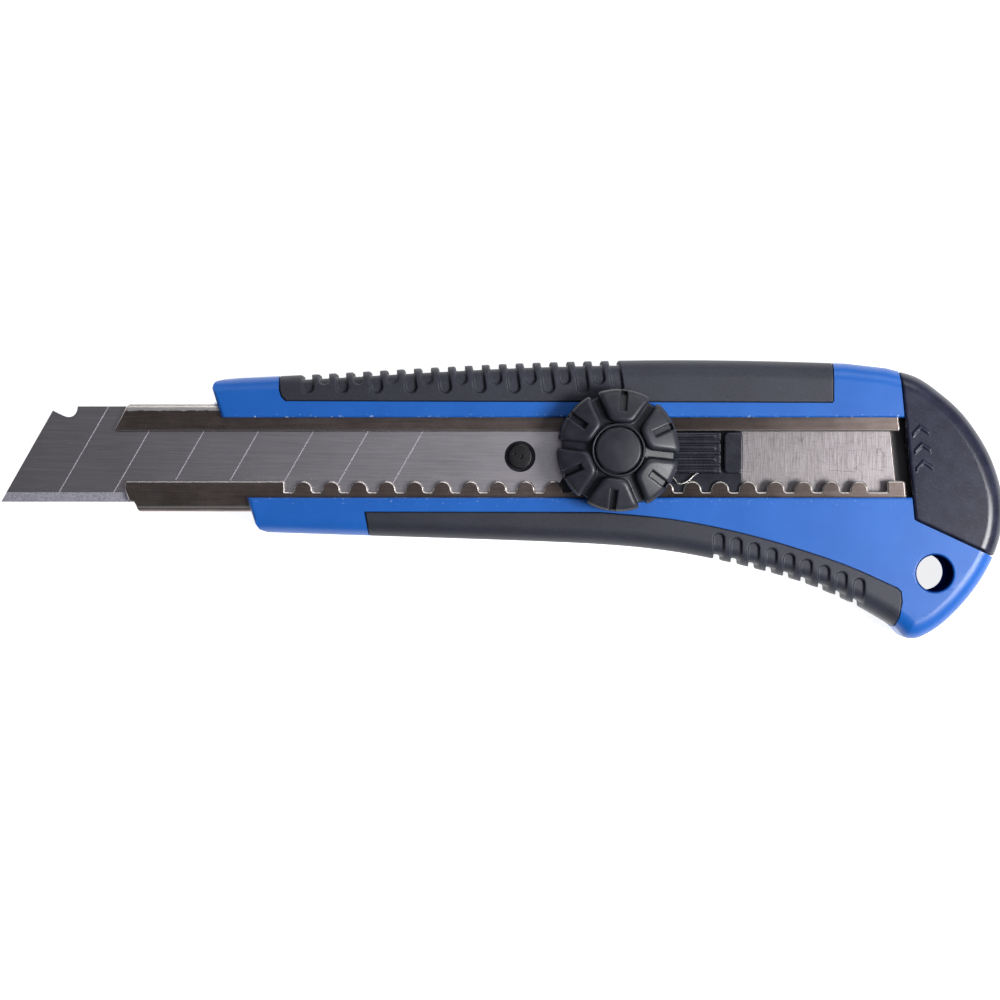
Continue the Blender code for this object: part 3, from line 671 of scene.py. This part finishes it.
def black_plastic(name, colour, low_rough, high_rough, depth):
    """Semi-gloss moulded plastic with a faint moulded texture and fine handling marks."""
    look = new_look(name)
    grain = look.noise(2.6)
    marks = look.noise(1.0, 4.0, 0.7, (0.2, 5.0, 1.0), 0.5)
    lighter = tuple(c * 1.5 + 0.006 for c in colour)
    uneven = look.plus(grain, look.times(marks, 0.6))
    return look.shade({
        "Base Color": look.mix(look.span(look.noise(0.35), 0.35, 0.7), colour, lighter),
        "Specular IOR Level": 0.4,
        "Roughness": look.span(uneven, 0.5, 1.1, low_rough, high_rough),
        "Normal": look.bump(grain, depth)})


def rail_steel():
    """Rolled sheet: brushed across the channel's floor, brown-tinted lips with painted shade right of
    the wheel, painted highlights on the cut edges and a painted reflection along the spine's bend.
    """
    look = new_look("rail_steel")
    x, y, z = look.axes(look.spot())
    _, normal_y, normal_z = look.axes(look.node("TexCoord").outputs["Normal"])
    brushed = look.noise(1.0, 6.0, 0.75, (9.0, 0.22, 0.3))
    scratch = look.noise(1.0, 5.0, 0.75, (0.3, 7.0, 1.0), 0.06)
    hair = look.times(look.span(look.off(look.noise(0.22, 1.0), 0.5), 0.0, 0.005, 1.0, 0.0),
                      look.span(look.noise(0.3, 2.0), 0.5, 0.6, 0.0, 0.6))
    base = look.mix(look.span(brushed, 0.36, 0.64), (0.2, 0.178, 0.182), (0.44, 0.405, 0.412))
    marked = look.most(look.span(scratch, 0.6, 0.65, 0.0, 0.7), hair)
    base = look.mix(marked, base, (0.035, 0.025, 0.022))

    streak = look.plus(look.noise(1.0, 4.0, 0.7, (0.12, 2.6, 1.0)), look.noise(0.16))
    lip = look.mix(look.span(streak, 0.8, 1.2), (0.135, 0.106, 0.096), (0.2, 0.16, 0.147))
    # Painted shade on the lips to the right of the wheel
    wheel_shade = look.times(look.span(x, 14.0, 18.0), look.span(x, 34.0, 72.0, 0.75, 0.0))
    lip = look.mix(wheel_shade, lip, (0.012, 0.009, 0.009))
    lip_under = RAIL_TOP - SHEET
    colour = look.mix(look.span(z, lip_under - 0.3, lip_under - 0.1), base, lip)

    # Painted highlight where the sheet was cut, and a painted reflection in a wavy line along the
    # spine's bend
    edge = look.span(look.off(normal_z), 0.9, 0.996, 1.0, 0.0)
    wavy = look.plus(y, look.times(look.noise(1.0, 2.0, 0.55, (0.45, 0.0, 0.0)), 0.9))
    bend_reflection = look.times(look.span(wavy, RAIL_HIGH - 1.15, RAIL_HIGH - 1.05), look.span(z, 11.0, 11.2))
    painted_glint = look.times(look.most(edge, bend_reflection), look.span(normal_y, -0.6, -0.3))
    fine = look.noise(1.0, 2.0, 0.55, (18.0, 1.0, 1.0))
    return look.shade({
        "Base Color": look.mix(painted_glint, colour, (0.95, 0.89, 0.84)),
        "Metallic": 1.0,
        "Roughness": look.span(look.plus(fine, scratch), 0.6, 1.4, 0.24, 0.42),
        "Normal": look.bump(look.plus(brushed, look.times(scratch, 0.6)), 0.006)})


def blade_steel():
    """Fine ground carbon steel, a coarser and lighter band along the edge, bright score lines, painted
    shade towards the tip.
    """
    look = new_look("blade_steel")
    x, y, _ = look.axes(look.spot())
    _, _, normal_z = look.axes(look.node("TexCoord").outputs["Normal"])
    lines = look.noise(1.0, 4.0, 0.65, (0.12, 7.0, 1.0), 0.02)
    grit = look.noise(4.0, 3.0, 0.75)
    cloud = look.span(look.noise(0.09, 4.0), 0.3, 0.7)
    body = look.mix(cloud, (0.66, 0.61, 0.63), (0.76, 0.7, 0.725))
    # Painted shade: the body darkens towards the tip, where less light falls
    tip_shade = look.span(x, BLADE_LOW.x, 0.0, 0.5, 0.0)
    body = look.mix(tip_shade, body, (0.16, 0.145, 0.15))
    body = look.mix(look.span(lines, 0.45, 0.7, 0.0, 0.14), body, (0.8, 0.76, 0.78))
    body = look.mix(look.span(grit, 0.62, 0.72, 0.0, 0.2), body, (0.3, 0.27, 0.28))

    ground = look.mix(look.span(grit, 0.4, 0.6), (0.42, 0.41, 0.46), (0.72, 0.7, 0.78))
    from_edge = look.maths("SUBTRACT", y, BLADE_LOW.y)
    band = look.span(from_edge, EDGE_BAND - 0.05, EDGE_BAND + 0.05, 1.0, 0.0)
    cut_face = look.span(look.off(normal_z), 0.975, 0.99, 1.0, 0.0)
    colour = look.mix(cut_face, look.mix(band, body, ground), (0.62, 0.59, 0.63))

    # The score lines slope and repeat, up to the last one
    along = look.maths("SUBTRACT", look.maths("SUBTRACT", x, SNAP_FIRST),
                       look.times(from_edge, SNAP_SLOPE))
    from_score = look.maths("PINGPONG", along, SNAP_PITCH / 2)
    past_last = SNAP_PITCH * (SNAP_COUNT - 0.5)
    score = look.times(look.span(from_score, 0.08, 0.16, 1.0, 0.0),
                       look.span(along, past_last, past_last + 0.1, 1.0, 0.0))
    score = look.times(score, look.span(normal_z, 0.3, 0.5))
    rough = look.plus(look.span(lines, 0.3, 0.7, 0.24, 0.31),
                      look.times(look.most(band, cut_face), 0.25))
    height = look.plus(look.times(lines, 0.5), look.times(grit, look.times(band, 1.5)))
    return look.shade({
        "Base Color": look.mix(score, colour, (0.5, 0.475, 0.51)),
        "Metallic": 1.0,
        "Roughness": look.most(rough, look.times(score, 0.75)),
        "Normal": look.bump(height, 0.006)})


def bright_metal(name, colour, low_rough, high_rough, depth):
    """Rolled or turned metal with fine streaks round and along it."""
    look = new_look(name)
    streak = look.noise(1.0, 4.0, 0.65, (1.0, 8.0, 3.0))
    darker = tuple(c * 0.6 for c in colour)
    return look.shade({
        "Base Color": look.mix(look.span(look.noise(0.6), 0.4, 0.75, 0.0, 0.8), colour, darker),
        "Metallic": 1.0,
        "Roughness": look.span(streak, 0.3, 0.7, low_rough, high_rough),
        "Normal": look.bump(streak, depth)})


# ---- handle

def grip_core():
    """What lies under the soft grips."""
    ring = inset(handle_outline(3), GRIP_SIDE)
    return slab("core", ring, GRIP_FACE, HANDLE_T - GRIP_FACE, CORE_R, 3)


def grip_pocket(region):
    """The space that a soft grip fills, run past the outside."""
    return cut(prism("pocket", region, -PAST, HANDLE_T + PAST), grip_core())


def slot_section():
    """The front slot's (y, z) section: its walls flare out at the front face in a rounded edge."""
    ease, top, foot = SLOT_EASE, HANDLE_T, BED_TOP - 0.5
    low_side = arc((SLOT_LOW - ease, top - ease), ease, 90, 0, 6)
    high_side = arc((SLOT_HIGH + ease, top - ease), ease, 180, 90, 6)
    return [(SLOT_LOW - ease, top + PAST), *low_side, (SLOT_LOW, foot), (SLOT_HIGH, foot),
            *high_side, (SLOT_HIGH + ease, top + PAST)]


def guide_tongue():
    """The T-headed tongue that the end cap slides on."""
    section = [(-1.5, 7.3), (3.2, 7.3), (3.2, 6.4), (4.6, 6.4), (4.6, 9.6), (3.2, 9.6), (3.2, 8.7),
               (-1.5, 8.7)]
    return loft("tongue", [[(*at_cap(out, along), z) for out, z in section]
                           for along in (0.9, 20.0)])


def lanyard_hole():
    """A through hole with rounded rims."""
    wide, rim = LANYARD_R + LANYARD_RIM, LANYARD_RIM
    profile = [(wide, -PAST)] + arc((wide, rim), rim, 270, 180, 6)
    profile += [(r, HANDLE_T - z) for r, z in reversed(profile)]
    return lathe("hole", profile, LANYARD, 64)


def handle_body(paint):
    body = slab("body", handle_outline(nose=False), 0.0, HANDLE_T, EDGE_R)
    boolean(body, slab("nose", handle_outline(), 0.0, HANDLE_T, NOSE_R, 4), "INTERSECT")
    cut(body, grip_pocket(upper_grip_region()), grip_pocket(lower_grip_region()))
    cut(body, prism("cap side", inset(cap_region(), -GAP / 2), -PAST, HANDLE_T + PAST))
    cut(body, box("bed", (FAR_FRONT, RAIL_LOW - 0.15, RAIL_BOTTOM - 0.1),
                  (FAR_REAR, RAIL_HIGH + 0.15, BED_TOP)))
    cut(body, along_x("slot", slot_section(), FAR_FRONT, FAR_REAR), box("magazine", *MAGAZINE))
    boolean(body, guide_tongue(), "UNION")
    cut(body, lanyard_hole())
    shade_by_angle(body)
    flatten_normals(body)
    place(body, "handle_shell", paint, "handle", "handle_body")


def soft_grip(paint, side_name, region, bars, bar_r, step):
    """A soft grip: the handle's skin over its region, with a round-lipped groove along each bar."""
    node = side_name + "_grip"
    low, high = node_box(node)
    outline = outline_field(handle_outline(), low, high)
    inside_region = outline_field(region, low, high)
    core = outline_field(inset(handle_outline(3), GRIP_SIDE - GAP), low, high)
    side_depth, face_depth = 0.9, 0.7
    face_spread = 0.22          # how much wider the grooves are on the faces

    def field(x, y, z):
        side = outline(x, y)
        skin = rounded_both(side, between(z, 0.0, HANDLE_T), EDGE_R)
        skin = blend_max(skin, inside_region(x, y) + GAP / 2, 0.3)
        on_face = np.clip((np.abs(z - HANDLE_T / 2) - 3.5) / 2.5, 0, 1)
        groove = np.inf
        for start, end in bars:
            groove = np.minimum(groove, segment_field(x, y, start, end, bar_r))
        groove = groove - face_spread * on_face
        uncut = between(z, face_depth, HANDLE_T - face_depth)
        uncut = rounded_both(side + side_depth, uncut, 2.0)
        skin = blend_max(skin, blend_min(-groove, uncut, 0.3), 0.26)
        depth = between(z, GRIP_FACE - GAP, HANDLE_T - GRIP_FACE + GAP)
        return np.maximum(skin, -rounded_both(core(x, y), depth, CORE_R))

    grip = surface("grip", field, low, high, step)
    place(grip, side_name + "_soft_grip", paint, "handle", node)


def upper_grip(paint):
    """Nineteen grooves that lean a little, by turns long and short."""
    lean, radius = math.tan(math.radians(8.0)), 0.82
    measured_at, past_spine = 24.0, 28.0
    bars = []
    for k in range(19):
        x = -35.95 + 3.14 * k
        foot = (19.65 if k % 2 == 0 else 21.2) + radius
        bars.append([(x + lean * (measured_at - y), y) for y in (past_spine, foot)])
    soft_grip(paint, "upper", upper_grip_region(), bars, radius, 0.22)


def lower_grip(paint):
    """Nine upright grooves whose arched tops follow the belly down."""
    radius, past_belly = 0.78, -30.0
    bars = []
    for k in range(9):
        x = 39.55 + 3.2 * k
        arch = -6.4 - 0.82 * k - 0.026 * k * k
        bars.append([(x, past_belly), (x, arch - radius)])
    soft_grip(paint, "lower", lower_grip_region(), bars, radius, 0.24)


def end_cap(paint):
    """The cap: rounded like the handle, hollow, with a T slot for the tongue and raised marks."""
    low, high = node_box("end_cap")
    outline = outline_field(handle_outline(), low, high)
    region = outline_field(inset(cap_region(), GAP / 2), low, high)
    wall, joint_wall = 2.2, 2.0
    inner = outline_field(inset(handle_outline(3), wall), low, high)
    near = outline_field(inset(cap_region(), joint_wall), low, high)
    wide, rise, bar = 1.5, 1.3, 0.75
    chevron = ((-wide, 0.0), (0.0, rise), (wide, 0.0), (wide, bar), (0.0, rise + bar), (-wide, bar))
    marks = [outline_field([at_cap(2.6 + a, foot + b) for a, b in chevron], low, high)
             for foot in (8.6, 11.8, 15.0)]

    def field(x, y, z):
        side = outline(x, y)
        cap = rounded_both(side, between(z, 0.0, HANDLE_T), EDGE_R)
        cap = blend_max(cap, region(x, y), 0.5)
        dx, dy = x - CAP_FOOT.x, y - CAP_FOOT.y
        out = dx * CAP_OUT.x + dy * CAP_OUT.y
        along = dx * CAP_SLIDE.x + dy * CAP_SLIDE.y
        run = between(along, -9.0, 20.25)
        neck = np.maximum(between(out, -1.5, 4.0), between(z, 7.05, 8.95))
        head = np.maximum(between(out, 2.95, 4.85), between(z, 6.15, 9.85))
        cap = np.maximum(cap, -np.maximum(np.minimum(neck, head), run))
        mouth = np.maximum(between(out, -2.0, 4.0), between(along, 4.0, 20.0))
        room = np.minimum(np.maximum(inner(x, y), near(x, y)), mouth)
        for bottom, top in ((2.0, 5.4), (10.6, 12.4)):
            cap = np.maximum(cap, -np.maximum(room, between(z, bottom, top)))
        for mark in marks:
            raised = rounded_both(mark(x, y), between(z, HANDLE_T - 0.5, HANDLE_T + 0.25), 0.12)
            cap = blend_min(cap, raised, 0.15)
        return cap

    cap = surface("cap", field, low, high, 0.2)
    place(cap, "rear_cap", paint, "cap", "end_cap")


# ---- rail and blade

def rail_section():
    """The C channel's (y, z) section."""
    low, high, bottom, top = RAIL_LOW, RAIL_HIGH, RAIL_BOTTOM, RAIL_TOP
    ring = [(LIP_LOW, top)]
    outer = [(low + BEND_R, top - BEND_R, 90), (low + BEND_R, bottom + BEND_R, 180),
             (high - BEND_R, bottom + BEND_R, 270), (high - BEND_R, top - BEND_R, 0)]
    for y, z, start in outer:
        ring += arc((y, z), BEND_R, start, start + 90, 9)
    ring += [(LIP_HIGH, top), (LIP_HIGH, top - SHEET)]
    for y, z, start in reversed(outer):
        ring += arc((y, z), BEND_R - SHEET, start + 90, start, 6)
    return ring + [(LIP_LOW, top - SHEET)]


def notch_comb():
    """Cuts the notches out of the lower lip: between them, half-round teeth are left."""
    crest = LIP_LOW - TOOTH_R
    corner = crest - NOTCH_FLOOR
    lower = [(NOTCH_FIRST, LIP_LOW + PAST), (NOTCH_FIRST, NOTCH_FLOOR)]
    for k in range(1, NOTCH_COUNT):
        x = NOTCH_FIRST + NOTCH_PITCH * k - TOOTH_R
        lower += arc((x - TOOTH_R - corner, crest), corner, 270, 360, 4)
        lower += arc((x, crest), TOOTH_R, 180, 0, 18)
        lower += arc((x + TOOTH_R + corner, crest), corner, 180, 270, 4)
    end = NOTCH_FIRST + NOTCH_PITCH * (NOTCH_COUNT - 1) + 3.5
    lower += [(end, NOTCH_FLOOR), (end, LIP_LOW + PAST)]
    return prism("comb", lower, RAIL_TOP - SHEET - 0.3, RAIL_TOP + 0.5)


def rail_nose():
    """Cuts the rail's front end: both lips lean back towards the rail's sides."""
    edge = [(-68.0, 18.5), (-70.95, 12.75), (-70.7, 12.0), (-68.6, 11.0), (-68.6, 4.4),
            (-69.0, 3.0), (-69.1, 1.9), (-68.3, -0.2), (-67.4, -0.4), (-66.3, -3.0)]
    beyond = [(-80.0, -3.0), (-80.0, 18.5)]
    return prism("nose", edge + beyond, RAIL_BOTTOM - PAST, RAIL_TOP + PAST)


def rail_tail(back, top):
    """Cuts the rail's rear end below a level, some way before the end cap's joint face."""
    ring = [at_cap(-back, -12.0), at_cap(20.0, -12.0), at_cap(20.0, 40.0), at_cap(-back, 40.0)]
    return prism("tail", ring, RAIL_BOTTOM - PAST, top)


def blade_rail(paint):
    rail = along_x("rail", rail_section(), -75.0, 80.0)
    cut(rail, notch_comb(), rail_nose(), rail_tail(LIP_BACK, RAIL_TOP + 1))
    cut(rail, rail_tail(FLOOR_BACK, RAIL_BOTTOM + 1))
    ease_edges(rail, 0.32, 50.0)
    bake_modifiers(rail)
    shade_by_angle(rail, 50.0)
    flatten_normals(rail)
    place(rail, "sheet_rail", paint, "handle", "blade_rail")


def blade_outline():
    """The blade seen from the front, without its pin hole."""
    low, spine = BLADE_LOW.y, BLADE_HIGH.y
    hook = smooth([(-77.8, spine), (-77.95, 16.2), (-78.5, 15.4), (-79.4, 15.1), (-80.4, 15.35),
                   (-82.35, 16.3)], 6)
    rear_low = (BLADE_HIGH.x - (spine - low) * SNAP_SLOPE, low)
    return [(BLADE_LOW.x, low), rear_low, (BLADE_HIGH.x, spine)] + hook


def blade(paint):
    bottom, top = BLADE_LOW.z, BLADE_HIGH.z
    middle, keen = (bottom + top) / 2, 0.03
    low, spine = BLADE_LOW.y, BLADE_HIGH.y
    section = [(low, middle - keen), (low + EDGE_BAND, bottom), (spine, bottom), (spine, top),
               (low + EDGE_BAND, top), (low, middle + keen)]
    strip = along_x("strip", section, -95.0, 25.0)
    shape = prism("shape", blade_outline(), bottom - PAST, top + PAST)
    hole = [(PIN_HOLE_R, bottom - 2 * PAST), (PIN_HOLE_R, top + 2 * PAST)]
    cut(shape, lathe("hole", hole, PIN, 64))
    boolean(strip, shape, "INTERSECT")
    half, depth, above = 0.13, 0.035, top + 0.02
    for k in range(SNAP_COUNT):
        rings = []
        for y in (low - 1, spine + 1):
            x = SNAP_FIRST + SNAP_PITCH * k + (y - low) * SNAP_SLOPE
            rings.append([(x - half, y, above), (x, y, top - depth), (x + half, y, above)])
        cut(strip, loft("score", rings))
    shade_by_angle(strip, 5.0)
    place(strip, "snap_blade", paint, "slider", "blade")


# ---- slider

def spring_ring(half):
    """Outline of the detent leaf: in the carrier, out to a nose in the notch, and in again."""
    line = smooth([(38.0, 5.9), (36.6, 5.3), (35.2, 4.5), (34.0, 3.4), (32.75, 2.85), (32.0, 3.05),
                   (31.3, 3.9), (29.6, 4.5), (27.0, 4.8), (24.6, 5.4), (23.2, 6.3)], 6)
    normals = [left_normal(a, b) for a, b in zip([line[0]] + line, line[1:] + [line[-1]])]
    left = [p + n * half for p, n in zip(line, normals)]
    right = [p - n * half for p, n in zip(line, normals)]
    return left + right[::-1]


def detent_spring(paint):
    leaf = prism("leaf", spring_ring(0.13), CARRIER_TOP + 0.12, 12.45)
    ease_edges(leaf, 0.04, 50.0)
    bake_modifiers(leaf)
    shade_by_angle(leaf)
    place(leaf, "detent_leaf", paint, "slider", "detent_spring")


def blade_carrier(paint):
    """Base under the lips, tongue under the blade, ribbed thumb panel and rear bar, all eased."""
    low, top = CARRIER_LOW.z, CARRIER_TOP
    tongue = outline_field([(0.3, 4.2), (9.0, 4.2), (12.0, -1.2), (20.0, -1.2), (20.0, 16.7),
                            (12.0, 16.7), (9.0, 11.6), (0.3, 11.6)], CARRIER_LOW, CARRIER_HIGH)
    slit = outline_field(spring_ring(0.35), CARRIER_LOW, CARRIER_HIGH)
    side_low, side_high = -1.2, 16.7
    inner_low, inner_high, foot = 4.75, 12.25, low + 0.3
    rib_half, rib_pitch = 0.31, 1.06

    def field(x, y, z):
        solid = block_field(x, y, z, (18.9, side_low, low), (44.05, side_high, top), 0.25)
        solid = np.minimum(solid, rounded_both(tongue(x, y), between(z, low, TONGUE_TOP), 0.1))
        boss = block_field(x, y, z, (16.8, inner_low, foot), (28.6, inner_high, 12.4), 0.2)
        panel = block_field(x, y, z, (28.2, inner_low, foot), (40.05, inner_high, 13.0), 0.3)
        solid = blend_min(blend_min(solid, boss, 0.15), panel, 0.15)
        for k in range(7):
            across = 11.6 - rib_pitch * k
            end = 38.95 if k % 2 == 0 else 39.9
            rib = block_field(x, y, z, (28.9, across - rib_half, 12.6),
                              (end, across + rib_half, 13.6), 0.29)
            solid = blend_min(solid, rib, 0.12)
        plan = block_field(x, y, 0.0, (40.5, inner_low, -9.0), (43.95, inner_high, 9.0), 0.9)
        rear_bar = rounded_both(plan, between(z, foot, 13.9), 0.35)
        solid = blend_min(solid, rear_bar, 0.15)
        leaf_slit = np.maximum(slit(x, y), between(z, top + 0.02, 12.8))
        stud_seat = np.maximum(np.abs(x - AXIS.x), np.abs(y - AXIS.y)) - STUD_HEAD / 2 - GAP
        stud_seat = np.maximum(stud_seat, z - STUD_SHOULDER - GAP)
        stud_bore = np.hypot(x - AXIS.x, y - AXIS.y) - STUD_R - GAP
        pin_bore = np.maximum(np.hypot(x - PIN.x, y - PIN.y) - 1.5, z - 12.0)
        for hollow in (leaf_slit, stud_seat, stud_bore, pin_bore):
            solid = np.maximum(solid, -hollow)
        return solid

    carrier = surface("carrier", field, CARRIER_LOW, CARRIER_HIGH, 0.13)
    place(carrier, "slider_body", paint, "slider", "blade_carrier")


def blade_pin(paint):
    """Staked pin: a thin shank and a head with a rounded rim and two punch marks."""
    shoulder, top = TONGUE_TOP + 0.15, 12.2
    shank, rim = 1.3, 0.35
    profile = [(shank, CARRIER_LOW.z + 0.1), (shank, shoulder), (PIN_R, shoulder)]
    profile += arc((PIN_R - rim, top - rim), rim, 0, 90, 6)
    pin = lathe("pin", profile, PIN, 64)
    punch = [(0.04, top - 0.22), (0.16, top - 0.18), (0.34, top + 0.06)]
    for x, y in ((0.25, 0.05), (-1.05, 0.5)):
        cut(pin, lathe("punch mark", punch, (PIN.x + x, PIN.y + y), 24))
    shade_by_angle(pin)
    place(pin, "staked_pin", paint, "slider", "blade_pin")


# ---- wheel

def wheel_field(x, y, z):
    """Six petals that slope to the rim, each with an outer slit, over a base with a ring and hub."""
    dx, dy = x - AXIS.x, y - AXIS.y
    radius = np.hypot(dx, dy)
    turn = np.mod(np.arctan2(dy, dx) - PETAL_TURN, PETAL_SHARE) - PETAL_SHARE / 2
    out, aside = radius * np.cos(turn), np.abs(radius * np.sin(turn))
    from_groove = radius * np.sin(PETAL_SHARE / 2 - np.abs(turn))

    plan = blend_max(GROOVE_W / 2 - from_groove, PETAL_START - out, 0.9)
    plan = blend_max(plan, radius - WHEEL_R, 0.7)
    run = radius - PETAL_START
    petal_top = WHEEL_CREST + 0.05 - 0.14 * run - 0.016 * run ** 2
    petal = blend_max(plan, z - petal_top, 1.1)
    petal = blend_max(petal, WHEEL_BOTTOM - z, 0.7)
    groove_floor = WHEEL_CREST - GROOVE_DEPTH - 0.2 * run
    base = rounded_both(radius - WHEEL_R + RIM_STEP, between(z, WHEEL_BOTTOM, 40.0), 0.5)
    base = blend_max(base, z - groove_floor, 0.4)
    wheel = blend_min(base, petal, 0.25)
    slit = np.maximum(aside - SLIT_W / 2, SLIT_START - out)
    slit_floor = WHEEL_CREST - SLIT_DEPTH - 0.32 * (radius - SLIT_START)
    notch = np.maximum(aside - SLIT_W / 2, WHEEL_R - SLIT_STEP - out)
    wheel = blend_max(wheel, np.minimum(-slit, np.minimum(z - slit_floor, notch)), 0.4)
    ring = rounded_both(np.abs(radius - RING_R) - RING_HALF, z - (WHEEL_CREST - 0.75), 0.18)
    wheel = blend_min(wheel, ring, 0.2)
    wheel = np.minimum(wheel, np.maximum(radius - HUB_R, between(z, HUB_BOTTOM, WHEEL_BOTTOM + 1)))

    # Inside: a hexagonal seat for the nut, room for the stop ring above it, a recess for the cap
    sixth = np.mod(np.arctan2(dy, dx), PETAL_SHARE) - PETAL_SHARE / 2
    nut_seat = np.maximum(radius * np.cos(sixth) - NUT_R * math.cos(PETAL_SHARE / 2), z - 18.2)
    ring_room = np.maximum(radius - 3.8, 18.0 - z)
    cap_recess = np.maximum(radius - CAP_R - GAP, 20.2 - z)
    for hollow in (nut_seat, ring_room, cap_recess):
        wheel = np.maximum(wheel, -hollow)
    return np.maximum(wheel, HUB_BOTTOM - z)


def lock_wheel(paint):
    low, high = node_box("lock_wheel")
    wheel = surface("wheel", wheel_field, low, high, 0.12)
    place(wheel, "petal_wheel", paint, "wheel", "lock_wheel")


def wheel_cap(paint):
    """Domed disc with a rounded rim."""
    rim, dome = 0.45, 0.22
    disc_r, edge_z = CAP_R - rim, CAP_TOP - dome
    profile = [(CAP_R, node_box("wheel_cap")[0].z)] + arc((disc_r, edge_z - rim), rim, 0, 90, 9)
    profile += [(disc_r * share, CAP_TOP - dome * share ** 2)
                for share in (0.9, 0.75, 0.6, 0.45, 0.3, 0.15, 0.02)]
    cap = lathe("cap", profile, AXIS, 96)
    shade_by_angle(cap)
    place(cap, "hub_cap", paint, "wheel", "wheel_cap")


def dress(name, paint, ease):
    """A small CAD part that keeps its shape: a real material and eased edges."""
    obj = frame["nodes"][name]
    obj.data.materials.clear()
    obj.data.materials.append(paint)
    ease_edges(obj, ease * MM, 40.0)


# ---- floor, light and camera

def floor():
    """A pale matt table top."""
    look = new_look("table_top")
    paint = look.shade({
        "Base Color": look.mix(look.noise(0.4), (0.74, 0.74, 0.74), (0.78, 0.78, 0.78)),
        "Roughness": 0.9,
        "Emission Color": (1.0, 1.0, 1.0),
        "Emission Strength": 0.85})
    half_m, z_m = 1.5, -0.0001
    corners = [(x * half_m, y * half_m, z_m) for x, y in ((-1, -1), (1, -1), (1, 1), (-1, 1))]
    mesh = bpy.data.meshes.new("table_top")
    mesh.from_pydata(corners, [], [(0, 1, 2, 3)])
    mesh.materials.append(paint)
    add_object("table_top", mesh)


def softbox(name, place_m, target_m, size, power):
    """A rectangular area light at a place, turned to a target."""
    light = bpy.data.lights.new(name, "AREA")
    light.shape = "RECTANGLE"
    light.size, light.size_y = size
    light.energy = power
    obj = add_object(name, light)
    obj.location = place_m
    way = Vector(target_m) - Vector(place_m)
    obj.rotation_euler = way.to_track_quat("-Z", "Y").to_euler()


def light_room():
    """A room that is brighter on the cap's side, and two soft lights."""
    world = bpy.data.worlds.new("room")
    bpy.context.scene.world = world
    look = Look(world)
    background = look.tree.nodes["Background"]
    x, _, _ = look.axes(look.node("TexCoord").outputs["Generated"])
    room = look.mix(look.span(x, -0.3, 0.35), (0.14, 0.14, 0.155), (0.8, 0.84, 0.93))
    look.put(room, background.inputs["Color"])
    look.put(0.5, background.inputs["Strength"])
    softbox("key", (0.275, -0.06, 0.36), (0.08, 0.0, 0.01), (0.14, 0.17), 2.1)
    softbox("back", (0.15, 0.5, 0.45), (0.05, 0.0, 0.0), (0.5, 0.25), 1.0)


def camera():
    """Straight above the knife, looking down, with the spine up in the picture."""
    data = bpy.data.cameras.new("camera")
    data.sensor_width = 36.0
    data.lens = 110.0
    data.clip_start, data.clip_end = 0.01, 10.0
    obj = add_object("camera", data)
    obj.location = (-0.0004, -0.00011, 0.5715)
    bpy.context.scene.camera = obj


def build():
    blue = blue_plastic()
    soft = soft_grip_paint()
    cap_black = black_plastic("black_plastic_cap", (0.010, 0.011, 0.026), 0.23, 0.29, 0.0006)
    wheel_black = black_plastic("black_plastic_wheel", (0.014, 0.0148, 0.021), 0.34, 0.42, 0.003)
    slider_black = black_plastic("black_plastic_slider", (0.012, 0.0128, 0.02), 0.2, 0.3, 0.002)
    spring = bright_metal("spring_steel", (0.62, 0.6, 0.57), 0.18, 0.34, 0.003)
    brass = bright_metal("brass", (0.75, 0.55, 0.24), 0.22, 0.36, 0.004)
    dark = bright_metal("blackened_steel", (0.05, 0.047, 0.05), 0.3, 0.45, 0.004)
    handle_body(blue)
    upper_grip(soft)
    lower_grip(soft)
    end_cap(cap_black)
    blade_rail(rail_steel())
    blade(blade_steel())
    blade_carrier(slider_black)
    detent_spring(spring)
    blade_pin(dark)
    lock_wheel(wheel_black)
    wheel_cap(wheel_black)
    dress("clamp_plate", spring, 0.12)
    dress("lock_stud", spring, 0.1)
    dress("stop_ring", spring, 0.06)
    dress("wheel_nut", brass, 0.12)


camera()
light_room()
floor()
build()
bpy.context.scene.view_settings.view_transform = "Standard"
